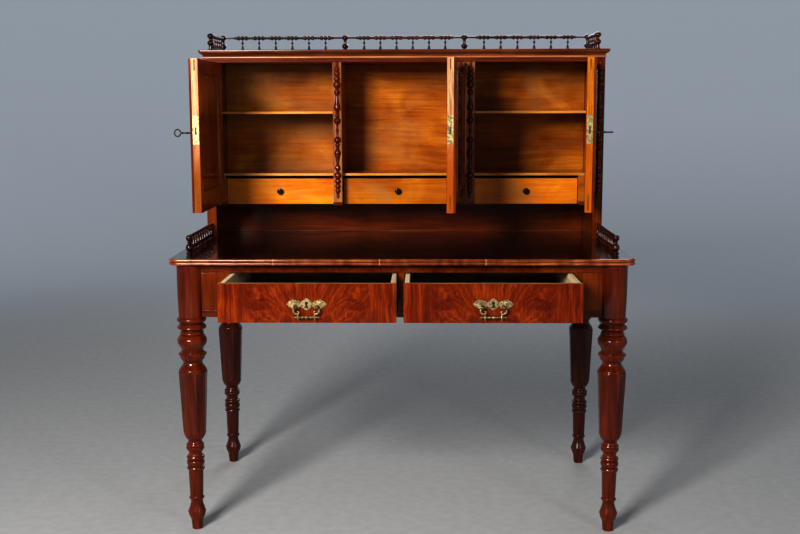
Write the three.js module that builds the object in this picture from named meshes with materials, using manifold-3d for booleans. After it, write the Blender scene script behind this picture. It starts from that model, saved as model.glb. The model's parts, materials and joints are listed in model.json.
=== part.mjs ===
// A lady's writing desk with an upper cabinet, in solid and veneered mahogany.
// Millimetres, +Z up. X = 0 is the middle of the desk, the drawers face -Y, Z = 0 is the floor,
// and Y = 0 is halfway between the open drawers' handles and the back edge of the table top.
// The doors and the two long drawers stand open; the three small drawers are shut.
import * as THREE from 'three';
import { mergeVertices } from 'three/addons/utils/BufferGeometryUtils.js';
import Module from 'manifold-3d';

const wasm = await Module();
wasm.setup();

// ---------- driving dimensions ----------
const gap = 0.3; // left between pieces that touch

// table
const topHalfWidth = 636.5;
const topDepth = 708;
const topHeight = 780;
const topThickness = 18;
const topCornerRadius = 28;
const reedRadius = 4.2;
const legX = 583.5;
const legSetback = 48; // table edge to leg axis, front
const legSetbackRear = 50;
const legTopRadius = 37.5;
const legSides = 16;
const friezeSetback = 30;
const railThickness = 20;
const friezeBottom = 615;
const openingBottom = 634;
const openingTop = 739;
const openingInner = 8.75; // half the divider between the long drawers
const openingOuter = 473;

// long drawers
const drawerOut = 185; // how far they stand open
const drawerLength = 560;
const drawerWall = 12;
const drawerBottomThickness = 8;
const pullPostLength = 14;
const pullPlateThickness = 2.5;
const pullHeight = 684.5;

// upper cabinet
const cabinetSetback = 468;
const cabinetBackSetback = 705;
const cabinetHalfWidth = 614;
const sideThickness = 29;
const partitionX = 204.5;
const partitionThickness = 27;
const backThickness = 11.5;
const cabinetBottomZ = 886;
const cabinetBottomThickness = 9.3;
const carcassTop = 1336;
const topBoardThickness = 11.7;
const floorTop = 984;
const floorThickness = 8;
const shelfTop = 1175.5;
const shelfThickness = 7.5;
const corniceTop = 1362;
const corniceOverhang = 13;
const corniceCorner = 6;

// doors
const doorThickness = 26;
const doorBottom = 896;
const doorTop = 1322;
const doorHingeGap = 1;
const doorFreeGap = 2;
const stileWidth = 44;
const topRailWidth = 36;
const bottomRailWidth = 56;
const panelThickness = 14;
const panelInset = 5;
const keyHeight = 1118;
const keyFromFreeEdge = 16;

// small drawers behind the doors
const smallFrontInset = 39; // cabinet front to drawer front, leaving room for the knob
const smallFrontThickness = 14;
const smallFrontBottom = 887;
const smallFrontTop = 967;
const smallBoxLength = 160;
const smallWall = 8;
const smallBottomThickness = 5;

// galleries
const railHeightAboveTop = 48; // rear rail centre above the cornice
const topGalleryX = 590;
const topGalleryFrontInset = 5;
const topGalleryRearInset = 17;
const sideRailDrop = [6.5, 2.5]; // side rail below the rear rail, at its front and rear ends
const postKnobRadius = 10.4;
const middlePostX = 193;
const tableGalleryX = 600;
const tableGalleryPostSetback = 125;
const tableGalleryHeight = 52;

// ---------- levels and planes worked out from them ----------
const pullProud = gap + pullPlateThickness + pullPostLength;
const frontY = -(topDepth - (drawerOut + pullProud - friezeSetback)) / 2; // table top's front edge
const backY = frontY + topDepth;
const friezeY = frontY + friezeSetback;
const frontLegY = frontY + legSetback;
const rearLegY = backY - legSetbackRear;
const underTop = topHeight - topThickness;
const cabinetY = frontY + cabinetSetback;
const cabinetBackY = frontY + cabinetBackSetback;
const innerBackY = cabinetBackY - backThickness;
const innerSideX = cabinetHalfWidth - sideThickness;
const partitionInner = partitionX - partitionThickness / 2;
const partitionOuter = partitionX + partitionThickness / 2;
const bottomBoardTop = cabinetBottomZ + cabinetBottomThickness;
const topBoardBottom = carcassTop - topBoardThickness;
const behindDoors = cabinetY + doorThickness + 2;
const smallFrontY = cabinetY + smallFrontInset;

// ---------- finishes ----------
const finishes = {
  mahogany: { color: 0x6b2410, roughness: 0.28, metalness: 0 },
  flame_veneer: { color: 0x8a2f12, roughness: 0.22, metalness: 0 },
  turned_mahogany: { color: 0x4a140b, roughness: 0.25, metalness: 0 },
  honey_wood: { color: 0xb5601a, roughness: 0.45, metalness: 0 },
  pale_wood: { color: 0xd6b184, roughness: 0.6, metalness: 0 },
  brass: { color: 0xb59a5c, roughness: 0.35, metalness: 1 },
  steel: { color: 0x2e2d2b, roughness: 0.4, metalness: 1 },
  ebonised_wood: { color: 0x17100d, roughness: 0.35, metalness: 0 },
};

// ---------- making solids ----------

// Joins the corners that faces share and drops faces with no area.
function weld(geometry) {
  const bare = geometry.clone();
  bare.deleteAttribute('normal');
  bare.deleteAttribute('uv');
  const merged = mergeVertices(bare, 1e-4);
  const kept = [];
  const index = merged.index.array;
  for (let i = 0; i < index.length; i += 3) {
    const [a, b, c] = [index[i], index[i + 1], index[i + 2]];
    if (a !== b && b !== c && c !== a) kept.push(a, b, c);
  }
  merged.setIndex(kept);
  return merged;
}

function toSolid(geometry) {
  const welded = weld(geometry);
  return new wasm.Manifold(new wasm.Mesh({
    numProp: 3,
    vertProperties: Float32Array.from(welded.attributes.position.array),
    triVerts: Uint32Array.from(welded.index.array),
  }));
}

function toGeometry(solid) {
  const mesh = solid.getMesh();
  const geometry = new THREE.BufferGeometry();
  geometry.setAttribute('position', new THREE.Float32BufferAttribute(mesh.vertProperties, 3));
  geometry.setIndex(Array.from(mesh.triVerts));
  return geometry;
}

function join(...geometries) {
  return toGeometry(geometries.map(toSolid).reduce((whole, piece) => whole.add(piece)));
}

function cut(geometry, ...tools) {
  return toGeometry(tools.map(toSolid).reduce((whole, tool) => whole.subtract(tool), toSolid(geometry)));
}

function common(geometry, limit) {
  return toGeometry(toSolid(geometry).intersect(toSolid(limit)));
}

// A box between two corners.
function block([x0, x1], [y0, y1], [z0, z1]) {
  const box = new THREE.BoxGeometry(x1 - x0, y1 - y0, z1 - z0);
  return box.translate((x0 + x1) / 2, (y0 + y1) / 2, (z0 + z1) / 2);
}

function outline(points) {
  return new THREE.Shape(points.map(([a, b]) => new THREE.Vector2(a, b)));
}

// An outline drawn in X and Z, extruded along Y from y0 to y1.
function alongY(shape, y0, y1, curveSegments = 6) {
  const geometry = new THREE.ExtrudeGeometry(shape, { depth: y1 - y0, bevelEnabled: false, curveSegments });
  return geometry.rotateX(Math.PI / 2).translate(0, y1, 0);
}

// An outline drawn in X and Y, raised from z0 to z1, with its edge rounded off by the given radius.
function plate(shape, z0, z1, edgeRadius = 0) {
  const bevel = edgeRadius > 0;
  const geometry = new THREE.ExtrudeGeometry(shape, {
    depth: z1 - z0 - 2 * edgeRadius,
    bevelEnabled: bevel,
    bevelThickness: edgeRadius,
    bevelSize: edgeRadius,
    bevelOffset: -edgeRadius,
    bevelSegments: 2,
    curveSegments: 4,
  });
  return geometry.translate(0, 0, z0 + edgeRadius);
}

function roundedRectangle(x0, x1, y0, y1, radius) {
  const shape = new THREE.Shape();
  shape.moveTo(x0 + radius, y0);
  shape.lineTo(x1 - radius, y0);
  shape.absarc(x1 - radius, y0 + radius, radius, -Math.PI / 2, 0);
  shape.lineTo(x1, y1 - radius);
  shape.absarc(x1 - radius, y1 - radius, radius, 0, Math.PI / 2);
  shape.lineTo(x0 + radius, y1);
  shape.absarc(x0 + radius, y1 - radius, radius, Math.PI / 2, Math.PI);
  shape.lineTo(x0, y0 + radius);
  shape.absarc(x0 + radius, y0 + radius, radius, Math.PI, Math.PI * 1.5);
  return shape;
}

// A turned piece on the Z axis. The profile lists [height, radius] from the bottom up.
function turned(profile, sides) {
  const points = profile.map(([height, radius]) => new THREE.Vector2(radius, height));
  points.unshift(new THREE.Vector2(0, profile[0][0]));
  points.push(new THREE.Vector2(0, profile[profile.length - 1][0]));
  return new THREE.LatheGeometry(points, sides).rotateX(Math.PI / 2);
}

// A round bar between two points.
function bar(start, end, radius, sides) {
  const from = new THREE.Vector3(...start);
  const along = new THREE.Vector3(...end).sub(from);
  const geometry = new THREE.CylinderGeometry(radius, radius, along.length(), sides);
  geometry.translate(0, along.length() / 2, 0);
  const turn = new THREE.Quaternion().setFromUnitVectors(new THREE.Vector3(0, 1, 0), along.normalize());
  return geometry.applyQuaternion(turn).translate(...start);
}

const desk = new THREE.Group();

function addPiece(name, geometry, finish, parent = desk) {
  const mesh = new THREE.Mesh(weld(geometry), new THREE.MeshStandardMaterial(finishes[finish]));
  mesh.name = name;
  parent.add(mesh);
  return mesh;
}

const handed = [['left', -1], ['right', 1]];

// Puts a pair of X limits in rising order on the left (-1) or right (+1) side.
function onSide(side, near, far) {
  return side > 0 ? [near, far] : [-far, -near];
}

// ---------- legs ----------

// Rings, bulb and cup at the top, an eight-sided taper, then a turned shin and foot.
const legProfile = [
  [0, 15], [28, 18], [51, 25], [77, 17], [91, 21.5], [98, 18.5], [173, 21], [180, 24.6], [185, 21],
  [195, 24.8], [204, 21.5], [211, 25], [221, 18.5], [238, 25.2], [247, 24.8], [257, 19.6], [272, 28.2],
  [286, 32], [457, 40.3], [464, 38], [484, 26.3], [508, 39], [517, 30.5], [547, 41], [573, 29.4], [584, 40.4],
  [594, 33], [609, 40.5], [616, 34.5], [underTop - gap, legTopRadius],
];
const taperBottom = 286;
const taperTop = 457;

function legGeometry() {
  const geometry = turned(legProfile, legSides);
  const position = geometry.attributes.position;
  const flat = Math.cos(Math.PI / 8);
  for (let i = 0; i < position.count; i += 1) {
    const [x, y, z] = [position.getX(i), position.getY(i), position.getZ(i)];
    const corner = Math.round(Math.atan2(y, x) / (Math.PI / 8));
    const onTaper = z > taperBottom - 1 && z < taperTop + 1;
    if (onTaper && corner % 2 === 0) position.setXY(i, x * flat, y * flat);
  }
  return geometry;
}

for (const [end, y] of [['front', frontLegY], ['rear', rearLegY]]) {
  for (const [hand, side] of handed) {
    const leg = addPiece(`leg_${end}_${hand}`, legGeometry(), 'turned_mahogany');
    leg.position.set(side * legX, y, 0);
  }
}

// ---------- table top and frieze ----------

function tableTop() {
  const edge = roundedRectangle(-topHalfWidth, topHalfWidth, frontY, backY, topCornerRadius);
  const middle = topHeight - topThickness / 2;
  const lap = 0.8; // the two reeds run into each other
  const lowerReed = plate(edge, underTop, middle + lap, reedRadius);
  const upperReed = plate(edge, middle - lap, topHeight, reedRadius);
  return join(lowerReed, upperReed);
}

// The round top of each leg with its clearance, taken out of the rails that meet it.
function legRecesses() {
  const radius = legTopRadius + 0.6;
  const height = [friezeBottom - 5, underTop + 5];
  const places = [-legX, legX].flatMap((x) => [[x, frontLegY], [x, rearLegY]]);
  return places.map(([x, y]) => bar([x, y, height[0]], [x, y, height[1]], radius, 20));
}

const friezeTop = underTop - gap;
const railBackY = friezeY + railThickness;
const sideApronX = legX + legSetback - friezeSetback;
const backApronY = rearLegY + legSetback - friezeSetback;

addPiece('table_top', tableTop(), 'mahogany');
addPiece(
  'front_top_rail',
  cut(block([-legX, legX], [friezeY, railBackY], [openingTop, friezeTop]), ...legRecesses()),
  'mahogany',
);
addPiece(
  'front_bottom_rail',
  cut(block([-legX, legX], [friezeY, railBackY], [friezeBottom, openingBottom]), ...legRecesses()),
  'mahogany',
);
addPiece(
  'frieze_divider',
  block([-openingInner, openingInner], [friezeY, railBackY], [openingBottom + gap, openingTop - gap]),
  'mahogany',
);
for (const [hand, side] of handed) {
  const panelZ = [openingBottom + gap, openingTop - gap];
  const panel = block(onSide(side, openingOuter, legX), [friezeY, railBackY], panelZ);
  addPiece(`frieze_panel_${hand}`, cut(panel, ...legRecesses()), 'mahogany');
  const apronX = onSide(side, sideApronX - railThickness, sideApronX);
  const apron = block(apronX, [frontLegY, rearLegY], [friezeBottom, friezeTop]);
  addPiece(`side_apron_${hand}`, cut(apron, ...legRecesses()), 'mahogany');
}
const backApron = block([-legX, legX], [backApronY - railThickness, backApronY], [friezeBottom, friezeTop]);
addPiece('back_apron', cut(backApron, ...legRecesses()), 'mahogany');

// ---------- runners that carry the long drawers ----------

const runnerY = [railBackY + gap, backApronY - railThickness - gap];
const runnerBottom = 617;
const runnerTop = openingBottom + gap;
const guideTop = 660;
const runnerLedge = 24;

for (const [hand, side] of handed) {
  const inner = openingOuter - runnerLedge;
  const outer = openingOuter + 26;
  const section = outline([
    [side * inner, runnerBottom], [side * outer, runnerBottom], [side * outer, guideTop],
    [side * (openingOuter + 1), guideTop], [side * (openingOuter + 1), runnerTop], [side * inner, runnerTop],
  ]);
  addPiece(`drawer_runner_${hand}`, alongY(section, ...runnerY), 'pale_wood');
}
const middleLedge = openingInner + runnerLedge;
const guideHalf = openingInner - 1;
const middleSection = outline([
  [-middleLedge, runnerBottom], [middleLedge, runnerBottom], [middleLedge, runnerTop], [guideHalf, runnerTop],
  [guideHalf, guideTop], [-guideHalf, guideTop], [-guideHalf, runnerTop], [-middleLedge, runnerTop],
]);
addPiece('drawer_runner_middle', alongY(middleSection, ...runnerY), 'pale_wood');

// ---------- long drawers ----------

const pullPostX = 28;
const pullPostZ = -8;
const bailArmX = 21.2;
const bailDrop = 24.5;
const bailBarHalf = 35;
const bailPivotY = -(pullProud - 4.5);

// The backplate: a pointed six-sided cartouche with a keyhole, and a leaf-shaped wing each way.
function pullPlate() {
  const half = [[0, 17], [12, 11], [17, 6], [30, 9], [42, 10], [53, 0], [42, -9], [31, -13], [24, -10],
    [17, -6], [12, -11], [0, -17]];
  const mirrored = half.slice(1, -1).reverse().map(([x, z]) => [-x, z]);
  const shape = outline([...half, ...mirrored]);
  shape.holes.push(new THREE.Path().absarc(0, 1, 2.6, 0, Math.PI * 2));
  const wing = alongY(shape, -gap - pullPlateThickness, -gap, 3);
  const posts = [-pullPostX, pullPostX].map((x) => (
    bar([x, -gap - 1, pullPostZ], [x, -pullProud, pullPostZ], 3.8, 10)
  ));
  return join(wing, ...posts);
}

// The swinging handle: two arms between the posts and a bar across their lower ends.
function pullBail() {
  const y = bailPivotY;
  const low = pullPostZ - bailDrop;
  const arms = [-bailArmX, bailArmX].map((x) => (
    block([x - 2, x + 2], [y - 2.4, y + 2.4], [low, pullPostZ + 3])
  ));
  return join(bar([-bailBarHalf, y, low], [bailBarHalf, y, low], 3, 10), ...arms);
}

const drawerFrontX = [openingInner + 0.8, openingOuter - 0.8];
const drawerBoxX = [openingInner + 3.5, openingOuter - 3.5];
const drawerZ = [openingBottom + 1.2, openingTop - 1.5];
const drawerCentreX = (drawerFrontX[0] + drawerFrontX[1]) / 2;

for (const [hand, side] of handed) {
  const drawer = new THREE.Group();
  drawer.position.y = friezeY - drawerOut;
  desk.add(drawer);

  const front = block(onSide(side, ...drawerFrontX), [0, railThickness], drawerZ);
  const centreX = side * drawerCentreX;
  const lockHole = bar([centreX, -1, pullHeight], [centreX, 15, pullHeight], 2.6, 10);
  addPiece(`drawer_front_${hand}`, cut(front, lockHole), 'flame_veneer', drawer);

  const start = railThickness + gap;
  const outer = block(onSide(side, ...drawerBoxX), [start, drawerLength], [runnerTop + 0.9, drawerZ[1] - 2]);
  const hollowX = onSide(side, drawerBoxX[0] + drawerWall, drawerBoxX[1] - drawerWall);
  const hollowZ = [drawerZ[0] + drawerBottomThickness + 2, drawerZ[1] + 5];
  const hollow = block(hollowX, [start - 5, drawerLength - drawerWall], hollowZ);
  addPiece(`drawer_box_${hand}`, cut(outer, hollow), 'pale_wood', drawer);

  const pull = new THREE.Group();
  pull.position.set(centreX, 0, pullHeight);
  drawer.add(pull);
  addPiece(`pull_plate_${hand}`, pullPlate(), 'brass', pull);
  addPiece(`pull_bail_${hand}`, pullBail(), 'brass', pull);
}

// ---------- upper cabinet carcass ----------

const insideX = innerSideX - gap;
const insideBackY = innerBackY - gap;

for (const [hand, side] of handed) {
  const sideBoard = block(
    onSide(side, innerSideX, cabinetHalfWidth),
    [cabinetY, cabinetBackY],
    [topHeight + gap, carcassTop - gap],
  );
  addPiece(`cabinet_side_${hand}`, sideBoard, 'mahogany');
  const partition = block(
    onSide(side, partitionInner, partitionOuter),
    [cabinetY, insideBackY],
    [bottomBoardTop + gap, topBoardBottom - gap],
  );
  addPiece(`partition_${hand}`, partition, 'honey_wood');
}
addPiece(
  'cabinet_back',
  block([-insideX, insideX], [innerBackY, cabinetBackY], [topHeight + gap, carcassTop - gap]),
  'honey_wood',
);
addPiece(
  'cabinet_top',
  block([-insideX, insideX], [cabinetY, insideBackY], [topBoardBottom, carcassTop - gap]),
  'honey_wood',
);

// Small drawers: the side of each bay where its door folds back is left to a drawer guide.
const bays = [
  { name: 'left', x: [-innerSideX, -partitionOuter], drawer: [-556, -220.5], hinge: 'left' },
  { name: 'middle', x: [-partitionInner, partitionInner], drawer: [-188.5, 151], hinge: 'right' },
  { name: 'right', x: [partitionOuter, innerSideX], drawer: [220.5, 541.5], hinge: 'right' },
];

// The bottom board is notched for the drawer fronts, which hang over its edge.
function cabinetBottom() {
  const board = block([-insideX, insideX], [cabinetY, insideBackY], [cabinetBottomZ, bottomBoardTop]);
  const notches = bays.map(({ drawer }) => block(
    [drawer[0] - 1.2, drawer[1] + 1.2],
    [cabinetY - 1, smallFrontY + smallFrontThickness + 1],
    [cabinetBottomZ - 1, bottomBoardTop + 1],
  ));
  return cut(board, ...notches);
}
addPiece('cabinet_bottom', cabinetBottom(), 'honey_wood');

// A compartment floor with the drawer guide glued under its hinge side.
for (const { name, x, drawer, hinge } of bays) {
  const [x0, x1] = [x[0] + gap, x[1] - gap];
  const [z0, z1, z2] = [bottomBoardTop + gap, floorTop - floorThickness, floorTop];
  const section = hinge === 'left'
    ? [[x0, z0], [drawer[0] - 1.2, z0], [drawer[0] - 1.2, z1], [x1, z1], [x1, z2], [x0, z2]]
    : [[x0, z1], [drawer[1] + 1.2, z1], [drawer[1] + 1.2, z0], [x1, z0], [x1, z2], [x0, z2]];
  addPiece(`compartment_floor_${name}`, alongY(outline(section), behindDoors, insideBackY), 'honey_wood');
  if (name !== 'middle') {
    const shelf = block([x0, x1], [behindDoors, insideBackY], [shelfTop - shelfThickness, shelfTop]);
    addPiece(`shelf_${name}`, shelf, 'honey_wood');
  }
}

// ---------- applied half columns ----------

// Heights run from the middle of the column upwards, and the lower half is its mirror image.
const halfColumnUpper = [
  [0, 4.6], [7, 3.4], [20, 3.4], [30, 9], [39, 4.2], [45, 6.5], [50, 4], [54, 5.6], [59, 4], [68, 8.8],
  [104, 3.8], [116, 7.6], [124, 4], [139, 9.2], [149, 5], [158, 8], [164, 4.5], [173, 7.6], [180, 4],
  [187, 7], [199, 3], [204, 4], [211, 1.5],
];
const halfColumnMiddleZ = 1117.5;

function halfColumn() {
  const lower = halfColumnUpper.slice(1).reverse().map(([height, radius]) => [-height, radius]);
  const whole = turned([...lower, ...halfColumnUpper], 8);
  return common(whole, block([-20, 20], [-20, -gap], [-220, 220]));
}

const halfColumnPlaces = [
  ['outer_left', -(innerSideX + sideThickness / 2)], ['inner_left', -partitionX],
  ['inner_right', partitionX], ['outer_right', innerSideX + sideThickness / 2],
];
for (const [name, x] of halfColumnPlaces) {
  const column = addPiece(`half_column_${name}`, halfColumn(), 'turned_mahogany');
  column.position.set(x, cabinetY, halfColumnMiddleZ);
}

// ---------- cornice ----------

function cornice() {
  const layer = (inset, z0, z1, radius) => {
    const halfWidth = cabinetHalfWidth + corniceOverhang - inset;
    const front = cabinetY - corniceOverhang + inset;
    const edge = roundedRectangle(-halfWidth, halfWidth, front, cabinetBackY + 20, corniceCorner);
    return plate(edge, z0, z1, radius);
  };
  const lap = 0.5;
  const whole = join(
    layer(11, carcassTop, carcassTop + 6, 3),
    layer(8, carcassTop + 6 - lap, corniceTop - 9 + lap, 0),
    layer(0, corniceTop - 9, corniceTop, 0),
  );
  const inFrontOfBack = block([-700, 700], [cabinetY - 100, cabinetBackY], [carcassTop - 5, corniceTop + 5]);
  return common(whole, inFrontOfBack);
}
addPiece('cornice', cornice(), 'mahogany');

// ---------- doors ----------

const doors = [
  { name: 'left', hingeX: -innerSideX + doorHingeGap, reach: 1, open: 90, key: 'upright' },
  { name: 'middle', hingeX: partitionInner - doorHingeGap, reach: -1, open: 84, key: null },
  { name: 'right', hingeX: innerSideX - doorHingeGap, reach: -1, open: 82, key: 'flat' },
];
const doorHeight = doorTop - doorBottom;

// A key with a ring bow, its shank along Y through the door's outer face at Y = 0.
function keyGeometry() {
  const ringRadius = 8.5;
  const wire = 2.1;
  const shankEnd = -31;
  const ring = new THREE.TorusGeometry(ringRadius, wire, 6, 12).rotateY(Math.PI / 2);
  ring.translate(0, shankEnd - ringRadius + 0.8, 0);
  const collar = bar([0, -13, 0], [0, -10, 0], 3.6, 10);
  return join(bar([0, 12, 0], [0, shankEnd, 0], 2.3, 10), collar, ring);
}

// Each door is drawn shut, with its pin at the origin and its outer face at Y = 0.
for (const { name, hingeX, reach, open, key } of doors) {
  const bay = bays.find((each) => each.name === name);
  const width = bay.x[1] - bay.x[0] - doorHingeGap - doorFreeGap;
  const door = new THREE.Group();
  door.position.set(hingeX, cabinetY, doorBottom);
  door.rotation.z = THREE.MathUtils.degToRad(-reach * open);
  desk.add(door);

  const hole = [onSide(reach, stileWidth, width - stileWidth), [bottomRailWidth, doorHeight - topRailWidth]];
  const [[hx0, hx1], [hz0, hz1]] = hole;
  const frame = block(onSide(reach, 0, width), [0, doorThickness], [0, doorHeight]);
  const panelHole = block([hx0, hx1], [-5, doorThickness + 5], [hz0, hz1]);
  const keyX = reach * (width - keyFromFreeEdge);
  const keyZ = keyHeight - doorBottom;
  const keyHole = bar([keyX, -5, keyZ], [keyX, 14, keyZ], 3.4, 12);
  addPiece(`door_frame_${name}`, cut(frame, panelHole, keyHole), 'mahogany', door);

  const panel = block(
    [hx0 + gap, hx1 - gap],
    [panelInset, panelInset + panelThickness],
    [hz0 + gap, hz1 - gap],
  );
  addPiece(`door_panel_${name}`, panel, 'flame_veneer', door);

  if (key) {
    const mesh = addPiece(`key_${name}`, keyGeometry(), 'steel', door);
    mesh.position.set(keyX, 0, keyZ);
    mesh.rotation.y = key === 'flat' ? Math.PI / 2 : 0;
  }
}

// ---------- small drawers ----------

const knobProfile = [[0, 4.5], [4, 4.5], [8, 9.8], [11, 6]];

for (const { name, drawer } of bays) {
  const [x0, x1] = drawer;
  const frontBack = smallFrontY + smallFrontThickness;
  const front = block([x0, x1], [smallFrontY, frontBack], [smallFrontBottom, smallFrontTop]);
  const boxEnd = frontBack + smallBoxLength;
  const boxZ = [bottomBoardTop + 0.6, smallFrontTop - 6];
  const box = block([x0 + 1, x1 - 1], [frontBack - 2, boxEnd], boxZ);
  const hollow = block(
    [x0 + smallWall, x1 - smallWall],
    [frontBack, boxEnd - smallWall],
    [boxZ[0] + smallBottomThickness, smallFrontTop + 5],
  );
  addPiece(`small_drawer_${name}`, cut(join(front, box), hollow), 'honey_wood');

  const knob = addPiece(`small_knob_${name}`, turned(knobProfile, 12), 'ebonised_wood');
  knob.rotation.x = Math.PI / 2;
  knob.position.set((x0 + x1) / 2, smallFrontY - gap, (smallFrontBottom + smallFrontTop) / 2);
}

// ---------- galleries ----------

// A turned post: base, ball, neck and knob.
function post(height, ballHeight) {
  return turned([
    [0, 8], [5, 8.5], [ballHeight - 9, 5], [ballHeight, 10.5], [ballHeight + 9, 5],
    [height - 18, 5], [height - 8.5, postKnobRadius], [height, 5],
  ], 8);
}

function spindle(height) {
  return turned([[0, 4.5], [height * 0.25, 4.5], [height, 2.2]], 6);
}

const postHeight = railHeightAboveTop + 8.5;
const galleryZ = corniceTop + gap;
const rearRailY = cabinetBackY - topGalleryRearInset;
const frontPostY = cabinetY + topGalleryFrontInset;
const railZ = railHeightAboveTop;
const ballZ = 21; // centre of a post's lower ball

// Rear run on the cornice: two corner posts, two posts between them and a rail on spindles.
function rearGallery() {
  const posts = [-topGalleryX, -middlePostX, middlePostX, topGalleryX];
  const pieces = [bar([-topGalleryX, 0, railZ], [topGalleryX, 0, railZ], 3.2, 8)];
  for (const x of posts) pieces.push(post(postHeight, ballZ).translate(x, 0, 0));
  for (let i = 0; i < 3; i += 1) {
    const length = posts[i + 1] - posts[i];
    for (let k = 0; k < 6; k += 1) {
      pieces.push(spindle(railZ).translate(posts[i] + length * (0.16 + 0.136 * k), 0, 0));
    }
  }
  return join(...pieces);
}
addPiece('gallery_rear', rearGallery(), 'turned_mahogany').position.set(0, rearRailY, galleryZ);

// A side run on the cornice: a lower front post and a rail that rises a little to the corner post.
function sideGallery() {
  const length = rearRailY - frontPostY - postKnobRadius - 2 * gap;
  const [frontZ, rearZ] = sideRailDrop.map((drop) => railZ - drop);
  const pieces = [bar([0, 0, frontZ], [0, length, rearZ], 3.6, 8), post(postHeight - sideRailDrop[0], ballZ)];
  for (let k = 0; k < 5; k += 1) {
    const share = (k + 1) / 5.6;
    const height = frontZ + (rearZ - frontZ) * share;
    pieces.push(spindle(height).translate(0, length * share, 0));
  }
  return join(...pieces);
}

// A side run on the table top: a front post, an upper and a lower rail, and spindles between.
const tableRunLength = cabinetSetback - tableGalleryPostSetback - gap;
const spindleCount = 10;

function tableGallery() {
  const upper = tableGalleryHeight - 4.5;
  const pieces = [
    post(tableGalleryHeight, 16),
    block([-4.5, 4.5], [0, tableRunLength], [upper - 4, upper + 4]),
    block([-3, 3], [0, tableRunLength], [15.5, 20]),
  ];
  for (let k = 0; k < spindleCount; k += 1) {
    const y = (tableRunLength * (k + 0.8)) / (spindleCount + 0.2);
    pieces.push(turned([[0, 3], [6, 5.2], [24, 4.4], [upper, 2.4]], 6).translate(0, y, 0));
  }
  return join(...pieces);
}

for (const [hand, side] of handed) {
  addPiece(`gallery_side_${hand}`, sideGallery(), 'turned_mahogany')
    .position.set(side * topGalleryX, frontPostY, galleryZ);
  addPiece(`table_gallery_${hand}`, tableGallery(), 'turned_mahogany')
    .position.set(side * tableGalleryX, frontY + tableGalleryPostSetback, topHeight + gap);
}

export default desk;
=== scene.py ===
import json
import math

import bmesh
import bpy
from mathutils import Matrix, Vector
from mathutils.geometry import tessellate_polygon


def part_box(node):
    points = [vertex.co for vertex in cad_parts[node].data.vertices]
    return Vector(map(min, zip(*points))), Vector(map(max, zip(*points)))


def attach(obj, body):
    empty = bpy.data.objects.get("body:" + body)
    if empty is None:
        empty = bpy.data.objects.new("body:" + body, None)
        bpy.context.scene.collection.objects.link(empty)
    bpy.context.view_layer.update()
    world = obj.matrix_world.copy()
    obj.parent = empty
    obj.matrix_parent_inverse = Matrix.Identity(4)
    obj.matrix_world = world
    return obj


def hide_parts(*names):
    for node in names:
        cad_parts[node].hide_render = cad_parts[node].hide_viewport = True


# A mahogany lady's writing desk. The fine turnings, mouldings, doors, handles and woods are built
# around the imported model. Shapes are drawn in millimetres and turned into metres when a piece is made.
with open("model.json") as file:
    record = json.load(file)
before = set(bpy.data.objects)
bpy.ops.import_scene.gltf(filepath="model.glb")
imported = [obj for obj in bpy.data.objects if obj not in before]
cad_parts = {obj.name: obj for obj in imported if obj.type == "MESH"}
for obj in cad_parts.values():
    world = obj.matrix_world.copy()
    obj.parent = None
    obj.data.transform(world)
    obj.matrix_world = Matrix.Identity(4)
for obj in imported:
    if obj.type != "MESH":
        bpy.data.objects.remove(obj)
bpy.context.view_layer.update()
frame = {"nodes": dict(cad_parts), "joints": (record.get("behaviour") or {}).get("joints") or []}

MM = 0.001
HANDS = ("left", "right")

# ---------- camera ----------

CAMERA_PLACE = (0.0605, -3.24507, 1.18621)  # metres
CAMERA_PITCH_DOWN, CAMERA_ROLL, CAMERA_TURN = 0.14242, 0.00265, 0.02079  # radians
CAMERA_LENS, CAMERA_SENSOR = 50, 36  # millimetres


def make_camera():
    data = bpy.data.cameras.new("camera")
    data.lens = CAMERA_LENS
    data.sensor_width = CAMERA_SENSOR
    camera = bpy.data.objects.new("camera", data)
    camera.location = CAMERA_PLACE
    camera.rotation_euler = (math.pi / 2 - CAMERA_PITCH_DOWN, CAMERA_ROLL, CAMERA_TURN)
    bpy.context.scene.collection.objects.link(camera)
    bpy.context.scene.camera = camera


make_camera()


def box_mm(node):
    """The lowest and highest corners of a CAD node, in millimetres."""
    low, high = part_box(node)
    return low / MM, high / MM


# ---------- node materials ----------

FLAT_GLOSS = (0.07, 1.28)  # roughness and refraction of the polish on boards
ROUND_GLOSS = (0.18, 1.44)  # and on turnings and mouldings, where highlights are broad
ROUND_TONES = ("turned", "turned_painted_shade", "gallery", "edge", "cornice", "bead")
RUBBED = (1.0, 0.62, 0.40)  # the warm tint of edges worn by hands


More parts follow.
